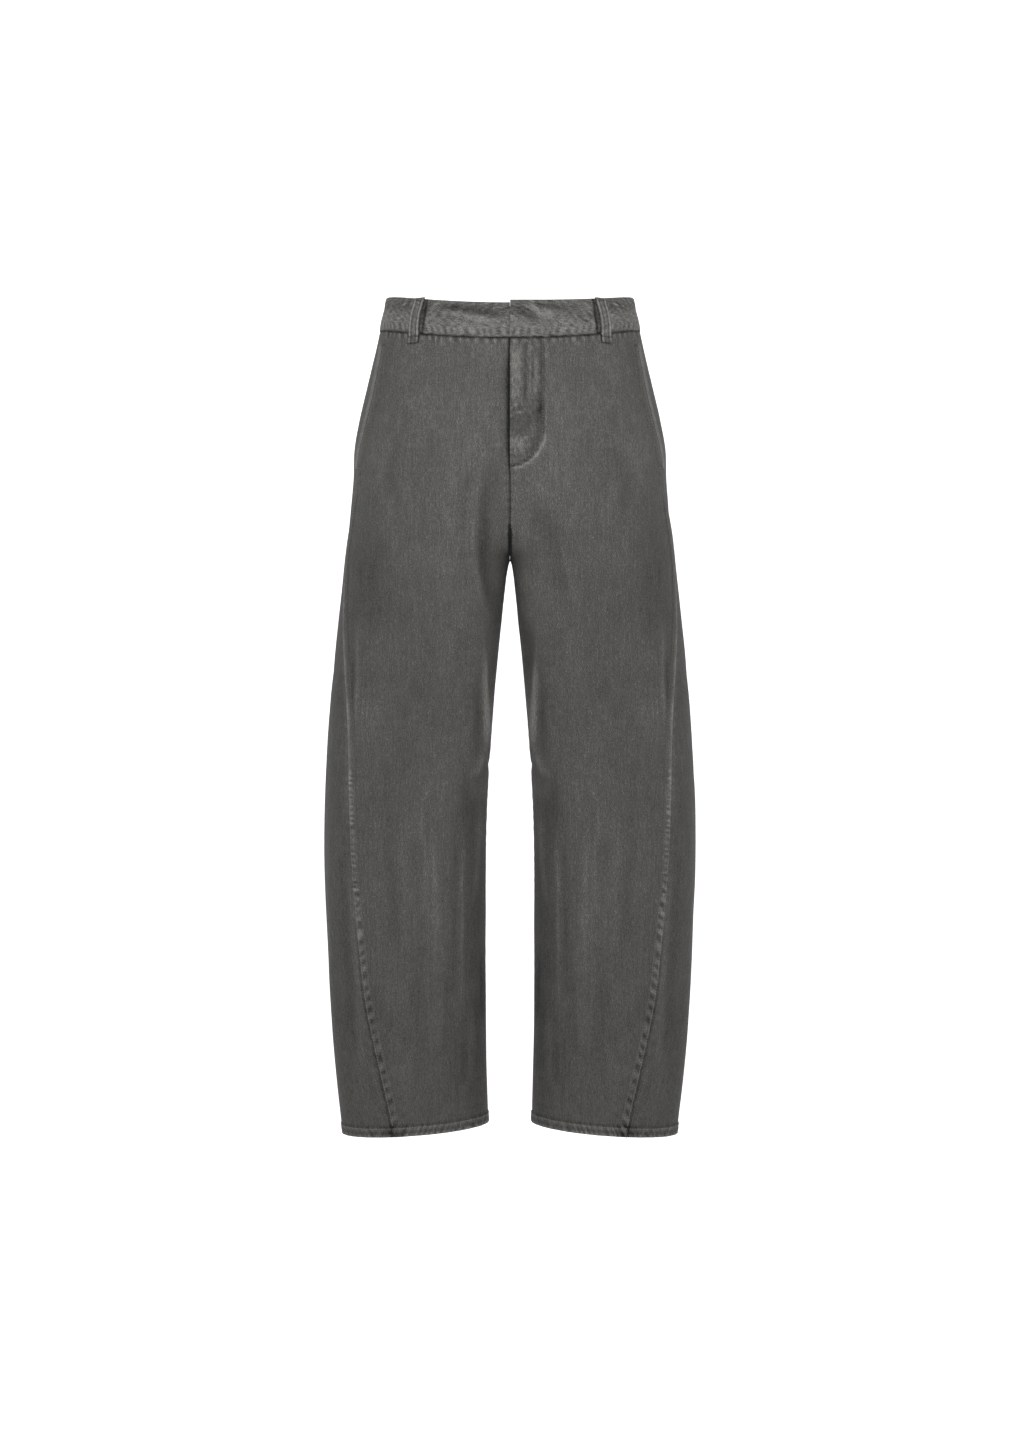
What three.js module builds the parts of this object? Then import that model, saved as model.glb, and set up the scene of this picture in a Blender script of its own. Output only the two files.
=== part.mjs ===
// High-rise denim trousers with a barrel leg, filled out as if worn, with nobody in them.
// Each leg is a curved tube whose outseam starts in front of the hip and twists round to the
// front of the shin. X runs to the wearer's left, Y to the back and Z up, in millimetres. The
// origin is the middle of the waist, level with the top of the waistband at the sides.
import * as THREE from 'three';

// Driving dimensions
const CLOTH = 1.3;              // one layer of denim
const BAND_THICKNESS = 2.8;     // the waistband is two layers and a stiffener
const BAND_PROUD = 1;           // how far it stands out from the panels' outer face
const LAP_RAISE = 1.6;          // the wearer's left end laps the right one
const LAP_RISE = 2.8;           // and its top rides up at the centre front
const BAND_HEIGHT = 41;
const BAND_EDGE = { height: 2.5, rounding: 0.6 };
const SEAM_GAP = 0.3;           // between the edges of two pieces that are sewn together
const HEM_LEVEL = -1025.5;
const HEM_HEIGHT = 12;
const HEM_STEP = 1.2;           // the height over which the leg steps out to the hem
const HEM_RAISE = 0.9;          // the hem is turned up, so it stands proud of the leg
const CROTCH_LEVEL = -322;
const CROTCH_ROW_LEVEL = -352;  // where the row through the crotch meets the outseam
const SHARE_LEVEL = -240;       // rows below this level slope as the one here does
const FELL_WIDTH = 12;          // seam allowance stitched down beside the outseam
const FELL_RAISE = 0.9;
const FELL_STEP = 1.5;
const FLY_WIDTH = 42;
const FLY_LENGTH = 176;
const FLY_STRAIGHT = 0.68;      // the share of its length above the curve at its foot
const FLY_STEP = 2;
const FLY_RAISE = 0.8;
const FLY_EDGE_RAISE = 1.4;     // the folded edge that laps the other front
const POCKET_TOP = -58;
const POCKET_BOTTOM = -212;
const POCKET_LIFT = 1.6;        // how far the mouth stands off the hip
const LOOP_WIDTH = 15;
const LOOP_THICKNESS = 2;
const BAG_BOTTOM = -285;
const BAG_WIDTH = 135;
const BAG_THICKNESS = 1;
const BAG_GAP = 0.5;            // from the front's inner face, where it is caught to it
const BAG_BULGE = 2;
const BAG_STRAIGHT = 0.6;       // the share of its depth above the rounded corner
const BAG_FOOT = 0.85;          // how much of its width, squared, the corner takes off
const SHIELD_BOTTOM = -205;
const SHIELD_THICKNESS = 2.2;
const SHIELD_GAP = 0.5;
const CAMBER = { tilt: 0.04, front: -0.00143, back: 0.0005 };  // the waist dips at the front
const HEM_SLANT = -0.075;       // the hem drops towards the outside of the leg

// How finely each piece is divided
const RISE_ROWS = 14;           // waist seam to crotch
const LEG_ROWS = 21;            // crotch to hem
const BESIDE_COLUMNS = 4;       // on the face that is turned to the other leg
const BESIDE_EDGES = [12, 27, FLY_WIDTH];  // then columns this far out from the other leg
const FRONT_COLUMNS = 11;       // from there to the felled seam
const BACK_COLUMNS = 14;        // or to the back's outseam edge
const BAND_COLUMNS = 22;
const BAG_COLUMNS = 7;
const SHIELD_ROWS = 6;
const SHIELD_COLUMNS = [-12, 2, 18, 34];  // distances from the centre front
const ARC_STEPS = 36;
const EDGE_STEPS = 400;

// The loop of cloth round one leg at each level, seen from above. Above the crotch the loops of
// the two legs overlap, and each is cut at the centre plane. A square of 2 makes an ellipse; the
// half beside the other leg has its own, because the thighs flatten each other.
const SECTIONS = [
  { level: 6, outer: 151.5, inner: -151.5, front: -111.6, back: 107, mid: 0, square: 2.15, beside: 2.15 },
  { level: 0, outer: 152.5, inner: -152.5, front: -112, back: 108, mid: 0, square: 2.15, beside: 2.15 },
  { level: -41, outer: 160.8, inner: -159.6, front: -115, back: 116, mid: 0, square: 2.18, beside: 2.18 },
  { level: -75, outer: 168.4, inner: -164.2, front: -117, back: 123, mid: 1, square: 2.2, beside: 2.2 },
  { level: -113, outer: 177.3, inner: -163.7, front: -118.5, back: 131, mid: 2, square: 2.22, beside: 2.22 },
  { level: -150, outer: 186, inner: -157, front: -119, back: 137.5, mid: 3, square: 2.24, beside: 2.26 },
  { level: -187, outer: 192.4, inner: -142, front: -118.5, back: 141, mid: 4, square: 2.25, beside: 2.4 },
  { level: -224, outer: 193.6, inner: -118, front: -117.5, back: 140, mid: 5, square: 2.25, beside: 2.7 },
  { level: -255, outer: 196.4, inner: -88, front: -116.4, back: 135.5, mid: 6, square: 2.22, beside: 3.1 },
  { level: -280, outer: 199.2, inner: -56, front: -115, back: 130, mid: 7, square: 2.2, beside: 3.5 },
  { level: -300, outer: 201.6, inner: -26.5, front: -113.5, back: 124.5, mid: 7, square: 2.18, beside: 3.8 },
  { level: -314, outer: 203.4, inner: -6.5, front: -112.4, back: 121, mid: 8, square: 2.16, beside: 3.9 },
  { level: -322, outer: 204.3, inner: 0, front: -111.7, back: 119, mid: 8, square: 2.16, beside: 3.9 },
  { level: -336, outer: 206, inner: 3.2, front: -110.4, back: 116, mid: 8, square: 2.15, beside: 3.8 },
  { level: -352, outer: 207.7, inner: 5.3, front: -108.9, back: 112.8, mid: 8, square: 2.14, beside: 3.6 },
  { level: -410, outer: 213.8, inner: 11.4, front: -103.5, back: 104, mid: 7, square: 2.12, beside: 3.0 },
  { level: -485, outer: 221.3, inner: 18.6, front: -97, back: 96, mid: 6, square: 2.12, beside: 2.55 },
  { level: -559, outer: 226.8, inner: 24.2, front: -91, back: 91, mid: 5, square: 2.12, beside: 2.3 },
  { level: -634, outer: 230.8, inner: 28.4, front: -87, back: 88, mid: 4, square: 2.12, beside: 2.18 },
  { level: -708, outer: 231.2, inner: 29.8, front: -84, back: 85.5, mid: 4, square: 2.12, beside: 2.12 },
  { level: -782, outer: 227.8, inner: 29.8, front: -80, back: 82.5, mid: 4, square: 2.1, beside: 2.1 },
  { level: -857, outer: 223.4, inner: 29.6, front: -76, back: 79.5, mid: 4, square: 2.1, beside: 2.1 },
  { level: -931, outer: 217.6, inner: 29.2, front: -72, back: 76.5, mid: 4, square: 2.08, beside: 2.08 },
  { level: -1026, outer: 207.4, inner: 27.2, front: -68, back: 73, mid: 4, square: 2.06, beside: 2.06 },
];

// Where the seams run, as degrees round the leg from its outermost line towards the front.
const SEAMS = [
  { level: 6, outseam: 19, inseam: 180 },
  { level: -41, outseam: 20.5, inseam: 180 },
  { level: -75, outseam: 24, inseam: 180 },
  { level: -135, outseam: 27, inseam: 180 },
  { level: -180, outseam: 25.5, inseam: 180 },
  { level: -213, outseam: 20.5, inseam: 180 },
  { level: -262, outseam: 17.5, inseam: 180 },
  { level: -319, outseam: 18, inseam: 180 },
  { level: -370, outseam: 23, inseam: 180 },
  { level: -415, outseam: 29, inseam: 180 },
  { level: -455, outseam: 35.5, inseam: 180 },
  { level: -497, outseam: 41.5, inseam: 181 },
  { level: -547, outseam: 46.2, inseam: 182 },
  { level: -621, outseam: 50.2, inseam: 183 },
  { level: -690, outseam: 52.6, inseam: 184 },
  { level: -756, outseam: 54.8, inseam: 185 },
  { level: -826, outseam: 57.3, inseam: 187 },
  { level: -861, outseam: 59.3, inseam: 188 },
  { level: -898, outseam: 62.6, inseam: 189 },
  { level: -940, outseam: 66.9, inseam: 190 },
  { level: -991, outseam: 71.8, inseam: 191 },
  { level: -1026, outseam: 74.6, inseam: 192 },
];

// The largest folds. Each runs down a leg from one level to another, and is a ridge where its
// height is positive and a trough where it is negative. Angles and widths are in degrees.
const FOLDS = [
  // drag lines off the crotch, deeper on the wearer's right
  { leg: 'right', from: -180, to: -455, start: 86, end: 166, width: 11, height: -4.2 },
  { leg: 'right', from: -215, to: -500, start: 76, end: 146, width: 12, height: 3 },
  { leg: 'left', from: -215, to: -420, start: 90, end: 120, width: 12, height: -2.4 },
  { leg: 'left', from: -240, to: -470, start: 112, end: 140, width: 12, height: 2.2 },
  { leg: 'both', from: -345, to: -540, start: 146, end: 152, width: 12, height: -2 },
  // slack beside the outseam on the thigh
  { leg: 'both', from: -250, to: -460, start: 50, end: 66, width: 13, height: -2.2 },
  { leg: 'both', from: -390, to: -650, start: 50, end: 68, width: 9, height: 1.8 },
  // inside the knee, and the break below it
  { leg: 'both', from: -430, to: -600, start: 158, end: 155, width: 9, height: 2.4 },
  { leg: 'both', from: -560, to: -700, start: 148, end: 142, width: 9, height: -2.2 },
  { leg: 'both', from: -610, to: -900, start: 136, end: 132, width: 10, height: 2 },
  { leg: 'both', from: -740, to: -950, start: 166, end: 164, width: 9, height: -2.4 },
  // long waves down the shin and the outer calf
  { leg: 'both', from: -620, to: -1000, start: 104, end: 100, width: 13, height: -1.6 },
  { leg: 'both', from: -500, to: -880, start: 16, end: 10, width: 14, height: -2.4 },
  { leg: 'both', from: -700, to: -1005, start: 44, end: 40, width: 13, height: -1.8 },
  // under the seat, behind the knee and down the calf
  { leg: 'both', from: -235, to: -430, start: -112, end: -150, width: 14, height: -5 },
  { leg: 'both', from: -260, to: -480, start: -88, end: -116, width: 14, height: 3 },
  { leg: 'both', from: -300, to: -520, start: -34, end: -60, width: 14, height: -2.8 },
  { leg: 'both', from: -490, to: -660, start: -140, end: -108, width: 13, height: -3.2 },
  { leg: 'both', from: -560, to: -740, start: -60, end: -84, width: 13, height: -2.8 },
  { leg: 'both', from: -660, to: -1000, start: -98, end: -92, width: 15, height: 2.2 },
  { leg: 'both', from: -700, to: -1005, start: -44, end: -50, width: 13, height: -2 },
];

// Belt loops, placed round the waist in degrees as the seams are. A loop is followed from above
// the waistband to its foot on the panel; stand is how far its inner face is off the cloth.
const BELT_LOOPS = [
  { name: 'front', angle: 46.5 },
  { name: 'back', angle: -47 },
];
const CENTRE_BACK = -90;
const LOOP_PATH = [
  { level: 0.4, stand: 1.5 },
  { level: -3, stand: 1.5 },
  { level: -8, stand: 2.0 },
  { level: -14, stand: 3.4 },
  { level: -20, stand: 4.2 },
  { level: -28, stand: 4.3 },
  { level: -35, stand: 3.5 },
  { level: -40, stand: 2.2 },
  { level: -44, stand: 1.0 },
  { level: -48, stand: 0.4 },
  { level: -53.5, stand: 0.4 },
];

const DENIM = { color: 0x565553, roughness: 0.92, metalness: 0, side: THREE.DoubleSide };
const POCKETING = { color: 0x4c4b4a, roughness: 0.95, metalness: 0, side: THREE.DoubleSide };

const radians = THREE.MathUtils.degToRad;
const smooth = (value, from, to) => THREE.MathUtils.smoothstep(value, from, to);

// A column of a table, read at any level as a smooth curve through its rows.
function read(table, column, level) {
  let i = 0;
  while (i < table.length - 2 && level < table[i + 1].level) i += 1;
  const slope = (j) => {
    const a = table[Math.max(j - 1, 0)];
    const b = table[Math.min(j + 1, table.length - 1)];
    return (b[column] - a[column]) / (b.level - a.level);
  };
  const [p, q] = [table[i], table[i + 1]];
  const span = q.level - p.level;
  const t = THREE.MathUtils.clamp((level - p.level) / span, 0, 1);
  const [t2, t3] = [t * t, t * t * t];
  return p[column] * (2 * t3 - 3 * t2 + 1) + slope(i) * span * (t3 - 2 * t2 + t)
    + q[column] * (3 * t2 - 2 * t3) + slope(i + 1) * span * (t3 - t2);
}

function sectionAt(level) {
  const section = {};
  for (const column of ['outer', 'inner', 'front', 'back', 'mid', 'square', 'beside']) {
    section[column] = read(SECTIONS, column, level);
  }
  section.middle = (section.outer + section.inner) / 2;
  section.half = (section.outer - section.inner) / 2;
  return section;
}

// A point of the bare cloth of the left leg, with the waist's camber and the hem's slant.
function bareCloth(level, degrees) {
  const s = sectionAt(level);
  const [c, n] = [Math.cos(radians(degrees)), Math.sin(radians(degrees))];
  const power = c > 0 ? s.square : s.beside;
  const reach = (Math.abs(c) ** power + Math.abs(n) ** power) ** (-1 / power);
  const x = s.middle + s.half * c * reach;
  const depth = n > 0 ? s.mid - s.front : s.back - s.mid;
  const y = s.mid - depth * n * reach;
  const bow = y < 0 ? CAMBER.front : CAMBER.back;
  const camber = (CAMBER.tilt * y + bow * y * y) * smooth(level, -262, -41);
  const slant = HEM_SLANT * (x - s.middle) * (1 - smooth(level, HEM_LEVEL, -700));
  return new THREE.Vector3(x + SEAM_GAP / 2, y, level + camber + slant);
}

function outwards(level, degrees) {
  const along = bareCloth(level, degrees + 0.5).sub(bareCloth(level, degrees - 0.5));
  const up = bareCloth(level + 0.5, degrees).sub(bareCloth(level - 0.5, degrees));
  return up.cross(along).normalize();
}

// How far the folds of a leg push the cloth out at a place.
function foldHeight(leg, level, degrees) {
  let height = 0;
  for (const fold of FOLDS.filter((one) => one.leg === leg || one.leg === 'both')) {
    const along = (level - fold.from) / (fold.to - fold.from);
    if (along <= 0 || along >= 1) continue;
    const angle = THREE.MathUtils.lerp(fold.start, fold.end, along);
    const off = (degrees - angle) / fold.width;
    height += fold.height * Math.sin(Math.PI * along) ** 2 * Math.exp(-off * off);
  }
  return height;
}

// A point of a leg's cloth, moved out by a distance.
function cloth(leg, level, degrees, out) {
  const move = foldHeight(leg, level, degrees) + out;
  return bareCloth(level, degrees).addScaledVector(outwards(level, degrees), move);
}

// The angle where a leg's loop is cut at the centre plane, or the inseam below the crotch.
function innerAngle(level, front) {
  if (level <= CROTCH_LEVEL) {
    const inseam = read(SEAMS, 'inseam', level);
    return front ? inseam : inseam - 360;
  }
  const s = sectionAt(level);
  const share = THREE.MathUtils.clamp(s.middle / s.half, 0, 1);
  const rise = (1 - share ** s.beside) ** (1 / s.beside);
  const angle = THREE.MathUtils.radToDeg(Math.atan2(rise, -share));
  return front ? angle : -angle;
}

// Angles at even steps round a level, with the length of cloth up to each.
function roundLevel(level, from, to) {
  const steps = [{ angle: from, length: 0 }];
  let last = bareCloth(level, from);
  for (let i = 1; i <= ARC_STEPS; i += 1) {
    const angle = THREE.MathUtils.lerp(from, to, i / ARC_STEPS);
    const next = bareCloth(level, angle);
    steps.push({ angle, length: steps[i - 1].length + next.distanceTo(last) });
    last = next;
  }
  return steps;
}

function angleAlong(steps, length) {
  let i = 1;
  while (i < steps.length - 1 && steps[i].length < length) i += 1;
  const [a, b] = [steps[i - 1], steps[i]];
  return THREE.MathUtils.mapLinear(length, a.length, b.length, a.angle, b.angle);
}

// Levels that divide an edge into rows of equal length. place gives the edge's point at a level.
function evenLevels(top, bottom, rows, place) {
  const levels = [top];
  const lengths = [0];
  let last = place(top);
  for (let i = 1; i <= EDGE_STEPS; i += 1) {
    const share = 1 - (1 - i / EDGE_STEPS) ** 2;
    levels.push(THREE.MathUtils.lerp(top, bottom, share));
    const next = place(levels[i]);
    lengths.push(lengths[i - 1] + next.distanceTo(last));
    last = next;
  }
  const wanted = [];
  for (let row = 0, i = 1; row < rows; row += 1) {
    const target = (lengths[EDGE_STEPS] * row) / rows;
    while (i < EDGE_STEPS && lengths[i] < target) i += 1;
    wanted.push(THREE.MathUtils.mapLinear(
      target, lengths[i - 1], lengths[i], levels[i - 1], levels[i],
    ));
  }
  return wanted;
}

// Every row of a panel, as the levels of its inner edge and of its outseam edge.
function panelRows(front) {
  const top = -BAND_HEIGHT - SEAM_GAP;
  const hemTop = HEM_LEVEL + HEM_HEIGHT;
  const rise = evenLevels(top, CROTCH_LEVEL, RISE_ROWS, (level) => {
    return bareCloth(level, innerAngle(level, front));
  });
  const rows = rise.map((inner, i) => {
    return { inner, outer: THREE.MathUtils.lerp(top, CROTCH_ROW_LEVEL, i / RISE_ROWS) };
  });
  const aboveHem = hemTop + HEM_STEP;
  for (let i = 0; i < LEG_ROWS; i += 1) {
    const inner = THREE.MathUtils.lerp(CROTCH_LEVEL, aboveHem, i / LEG_ROWS);
    rows.push({ inner, outer: THREE.MathUtils.lerp(CROTCH_ROW_LEVEL, aboveHem, i / LEG_ROWS) });
  }
  for (const level of [aboveHem, hemTop, HEM_LEVEL]) rows.push({ inner: level, outer: level });
  return rows;
}

function roundPanel(level, front) {
  return roundLevel(level, innerAngle(level, front), read(SEAMS, 'outseam', level));
}

// Where a level's cloth has come a distance out from the other leg, as a length from its inner
// edge. Columns placed by it run straight down the leg while the centre seam dives under.
function lengthBeside(level, steps, distance) {
  const out = distance + Math.max(0, sectionAt(level).inner);
  let i = 1;
  while (i < ARC_STEPS && bareCloth(level, steps[i].angle).x < out) i += 1;
  const [a, b] = [steps[i - 1], steps[i]];
  const [from, to] = [bareCloth(level, a.angle).x, bareCloth(level, b.angle).x];
  return THREE.MathUtils.mapLinear(out, from, to, a.length, b.length);
}

const divide = (from, to, count) => {
  return Array.from({ length: count }, (_, i) => THREE.MathUtils.lerp(from, to, (i + 1) / count));
};

// Where the columns of a panel cross a level, as lengths from its inner edge. A front has columns
// at the edges of the fly and of the felled seam.
function panelColumns(front, level, steps) {
  const { length } = steps[ARC_STEPS];
  const [start, end] = [SEAM_GAP / 2, length - SEAM_GAP / 2];
  const beside = BESIDE_EDGES.map((distance) => lengthBeside(level, steps, distance));
  const columns = [start, ...divide(start, beside[0], BESIDE_COLUMNS), ...beside.slice(1)];
  const last = columns[columns.length - 1];
  if (!front) return [...columns, ...divide(last, end, BACK_COLUMNS)];
  const fell = length - FELL_WIDTH;
  const pastFly = last + FLY_STEP;
  return [...columns, pastFly, ...divide(pastFly, fell - FELL_STEP, FRONT_COLUMNS), fell, end];
}

// The places where columns cross a row of a panel, whose two ends are at different levels.
function rowPlaces(row, front, columnsAt) {
  const hip = Math.max(row.outer, SHARE_LEVEL);
  const hipSteps = roundPanel(hip, front);
  return columnsAt(hip, hipSteps).map((atHip, c) => {
    const share = atHip / hipSteps[ARC_STEPS].length;
    const level = THREE.MathUtils.lerp(row.inner, row.outer, share);
    const steps = roundPanel(level, front);
    const fromInner = columnsAt(level, steps)[c];
    const fromOutseam = steps[ARC_STEPS].length - fromInner;
    return { level, angle: angleAlong(steps, fromInner), fromInner, fromOutseam };
  });
}

// What is sewn on or folded under, as a distance that the outer face of a panel stands proud.
function panelRaise(leg, front, place) {
  let raise = place.level <= HEM_LEVEL + HEM_HEIGHT + 0.1 ? HEM_RAISE : 0;
  if (front && place.fromOutseam <= FELL_WIDTH + 0.5) raise += FELL_RAISE;
  const flyDrop = (-BAND_HEIGHT - place.level) / FLY_LENGTH;
  if (front && leg === 'left' && flyDrop < 1) {
    const curve = Math.max(0, (flyDrop - FLY_STRAIGHT) / (1 - FLY_STRAIGHT));
    const reach = FLY_WIDTH * Math.sqrt(1 - curve ** 2);
    if (place.fromInner <= reach + 0.8) raise += FLY_RAISE;
    if (place.fromInner < 1) raise += FLY_EDGE_RAISE - FLY_RAISE;
  }
  return raise;
}

// The pocket mouth: the front's edge stands off the hip between the two ends.
function pocketLift(front, place) {
  if (!front || place.level > POCKET_TOP || place.level < POCKET_BOTTOM) return 0;
  const along = (place.level - POCKET_TOP) / (POCKET_BOTTOM - POCKET_TOP);
  const nearEdge = smooth(-place.fromOutseam, -45, -FELL_WIDTH);
  return POCKET_LIFT * Math.sin(Math.PI * along) ** 0.7 * nearEdge;
}

// A closed wall between an outer and an inner grid of points, each a list of rows.
function wall(outer, inner) {
  const [rows, columns] = [outer.length, outer[0].length];
  const at = (side, r, c) => side * rows * columns + r * columns + c;
  const points = [...outer.flat(), ...inner.flat()];
  const positions = points.flatMap((p) => p.toArray());
  const faces = [];
  // each four-sided cell is split across its shorter diagonal
  const quad = (a, b, c, d) => {
    const across = points[a].distanceTo(points[c]) <= points[b].distanceTo(points[d]);
    faces.push(...(across ? [a, b, c, a, c, d] : [a, b, d, b, c, d]));
  };
  for (let r = 0; r + 1 < rows; r += 1) {
    for (let c = 0; c + 1 < columns; c += 1) {
      quad(at(0, r, c), at(0, r + 1, c), at(0, r + 1, c + 1), at(0, r, c + 1));
      quad(at(1, r, c), at(1, r, c + 1), at(1, r + 1, c + 1), at(1, r + 1, c));
    }
  }
  for (let c = 0; c + 1 < columns; c += 1) {
    quad(at(0, 0, c), at(0, 0, c + 1), at(1, 0, c + 1), at(1, 0, c));
    quad(at(0, rows - 1, c + 1), at(0, rows - 1, c), at(1, rows - 1, c), at(1, rows - 1, c + 1));
  }
  for (let r = 0; r + 1 < rows; r += 1) {
    quad(at(0, r + 1, 0), at(0, r, 0), at(1, r, 0), at(1, r + 1, 0));
    const c = columns - 1;
    quad(at(0, r, c), at(0, r + 1, c), at(1, r + 1, c), at(1, r, c));
  }
  const geometry = new THREE.BufferGeometry();
  geometry.setAttribute('position', new THREE.Float32BufferAttribute(positions, 3));
  geometry.setIndex(faces);
  return geometry;
}

// Mirrors a grid for the wearer's right leg, and turns its rows round where that keeps the faces
// of the wall pointing out.
function toLeg(leg, grid, leftRunsBackwards) {
  const left = leg === 'left';
  return grid.map((row) => {
    const points = row.map((p) => new THREE.Vector3(left ? p.x : -p.x, p.y, p.z));
    return leftRunsBackwards === left ? points.reverse() : points;
  });
}

function piece(name, leg, rows, leftRunsBackwards, look = DENIM) {
  const outer = toLeg(leg, rows.map((row) => row.outer), leftRunsBackwards);
  const inner = toLeg(leg, rows.map((row) => row.inner), leftRunsBackwards);
  const mesh = new THREE.Mesh(wall(outer, inner), new THREE.MeshStandardMaterial(look));
  mesh.name = name;
  return mesh;
}

// A front or back of one leg, from the waist seam to the hem.
function panel(name, leg, front) {
  const rows = panelRows(front).map((row) => {
    const places = rowPlaces(row, front, (level, steps) => panelColumns(front, level, steps));
    return {
      outer: places.map((at) => {
        return cloth(leg, at.level, at.angle, pocketLift(front, at) + panelRaise(leg, front, at));
      }),
      inner: places.map((at) => cloth(leg, at.level, at.angle, pocketLift(front, at) - CLOTH)),
    };
  });
  return piece(name, leg, rows, !front);
}

// Half of the waistband, from the centre front round to the centre back. The wearer's left end
// laps the right one and its top rides up.
function waistband(name, leg) {
  const lapping = leg === 'left' ? 1 : 0;
  const edge = BAND_EDGE.height;
  const levels = [0, -edge, -BAND_HEIGHT / 2, -BAND_HEIGHT + edge, -BAND_HEIGHT];
  const rows = levels.map((level) => {
    const steps = roundLevel(level, innerAngle(level, true), innerAngle(level, false));
    const rounding = level === 0 || level === -BAND_HEIGHT ? BAND_EDGE.rounding : 0;
    const row = { outer: [], inner: [] };
    for (let c = 0; c <= BAND_COLUMNS; c += 1) {
      const along = (steps[ARC_STEPS].length * c) / BAND_COLUMNS;
      const angle = angleAlong(steps, along);
      const lap = lapping * LAP_RAISE * (1 - smooth(along, 10, 45));
      const outer = cloth(leg, level, angle, BAND_PROUD - rounding + lap);
      const inner = cloth(leg, level, angle, BAND_PROUD - BAND_THICKNESS);
      const rise = lapping * LAP_RISE * (1 + level / BAND_HEIGHT) * (1 - smooth(along, 20, 150));
      outer.z += rise;
      inner.z += rise;
      row.outer.push(outer);
      row.inner.push(inner);
    }
    return row;
  });
  return piece(name, leg, rows, false);
}

// A strip sewn flat across the waistband. The centre back loop has no side of its own.
function beltLoop(name, leg, angle) {
  const rows = LOOP_PATH.map(({ level, stand }) => {
    const normal = outwards(level, angle);
    const across = new THREE.Vector3(normal.y, -normal.x, 0).normalize();
    const middle = bareCloth(level, angle);
    if (angle === CENTRE_BACK) middle.x = 0;
    const points = (out) => [LOOP_WIDTH / 2, 0, -LOOP_WIDTH / 2].map((over) => {
      return middle.clone().addScaledVector(across, over).addScaledVector(normal, out);
    });
    return { outer: points(stand + LOOP_THICKNESS), inner: points(stand) };
  });
  return piece(name, leg, rows, false);
}

// The pouch hangs inside the front, from the waist seam to below the mouth. It is caught to the
// front at its edges and stands off it between them.
function pocketBag(name, leg) {
  const panelPart = panelRows(true).filter((row) => row.outer > BAG_BOTTOM);
  const last = panelPart.length - 1;
  const rows = panelPart.map((panelRow, r) => {
    const down = r / last;
    const corner = Math.max(0, (down - BAG_STRAIGHT) / (1 - BAG_STRAIGHT));
    const width = BAG_WIDTH * Math.sqrt(1 - BAG_FOOT * corner ** 2);
    const places = rowPlaces(panelRow, true, (level, steps) => {
      const end = steps[ARC_STEPS].length - SEAM_GAP / 2;
      return [end - width, ...divide(end - width, end, BAG_COLUMNS)];
    });
    const points = (depth) => places.map((at, c) => {
      const bulge = Math.sin(Math.PI * down) * Math.sin((Math.PI * c) / BAG_COLUMNS);
      const under = CLOTH + BAG_GAP + BAG_BULGE * Math.sqrt(Math.max(0, bulge));
      return cloth(leg, at.level, at.angle, -under - depth);
    });
    return { outer: points(0), inner: points(BAG_THICKNESS) };
  });
  return piece(name, leg, rows, false, POCKETING);
}

// The flap behind the fly opening, sewn to the wearer's right front and passing the centre.
function flyShield(name) {
  const rows = Array.from({ length: SHIELD_ROWS + 1 }, (_, r) => {
    const level = THREE.MathUtils.lerp(-BAND_HEIGHT - 1, SHIELD_BOTTOM, r / SHIELD_ROWS);
    const steps = roundPanel(level, true);
    const angles = SHIELD_COLUMNS.map((fromInner) => angleAlong(steps, fromInner));
    const points = (depth) => angles.map((angle) => {
      return cloth('right', level, angle, -CLOTH - SHIELD_GAP - depth);
    });
    return { outer: points(0), inner: points(SHIELD_THICKNESS) };
  });
  return piece(name, 'right', rows, false);
}

const jeans = new THREE.Group();
jeans.name = 'jeans';
for (const leg of ['left', 'right']) {
  jeans.add(
    panel(`front_${leg}`, leg, true),
    panel(`back_${leg}`, leg, false),
    waistband(`waistband_${leg}`, leg),
    pocketBag(`pocket_bag_${leg}`, leg),
  );
  for (const loop of BELT_LOOPS) {
    jeans.add(beltLoop(`belt_loop_${loop.name}_${leg}`, leg, loop.angle));
  }
}
jeans.add(beltLoop('belt_loop_centre_back', 'left', CENTRE_BACK), flyShield('fly_shield'));

export default jeans;
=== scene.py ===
"""Looks of the barrel-leg jeans: denim shells with their creases, sewing, and a pale studio.

The cloth follows the same named sizes as the solids. Lengths in the tables are in millimetres, X to
the wearer's left, Y to the back and Z up, and each mesh is made in metres.
"""

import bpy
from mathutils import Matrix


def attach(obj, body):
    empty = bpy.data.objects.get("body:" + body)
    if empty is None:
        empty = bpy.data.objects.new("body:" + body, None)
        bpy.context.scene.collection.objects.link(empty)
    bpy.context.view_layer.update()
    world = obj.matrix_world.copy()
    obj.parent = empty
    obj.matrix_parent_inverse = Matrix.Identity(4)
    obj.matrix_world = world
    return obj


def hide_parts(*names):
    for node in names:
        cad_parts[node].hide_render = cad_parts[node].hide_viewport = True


bl_info = {
    "name": "Barrel-leg jeans",
    "version": (1, 0, 0),
    "blender": (4, 5, 0),
    "location": "View3D > Sidebar > Jeans",
    "description": "Washed denim trousers with a twisted outseam, filled out with nobody in them",
    "category": "Add Mesh",
}

import math
from collections import namedtuple

import bpy
import numpy as np
from bpy.props import FloatProperty, FloatVectorProperty, PointerProperty

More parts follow.
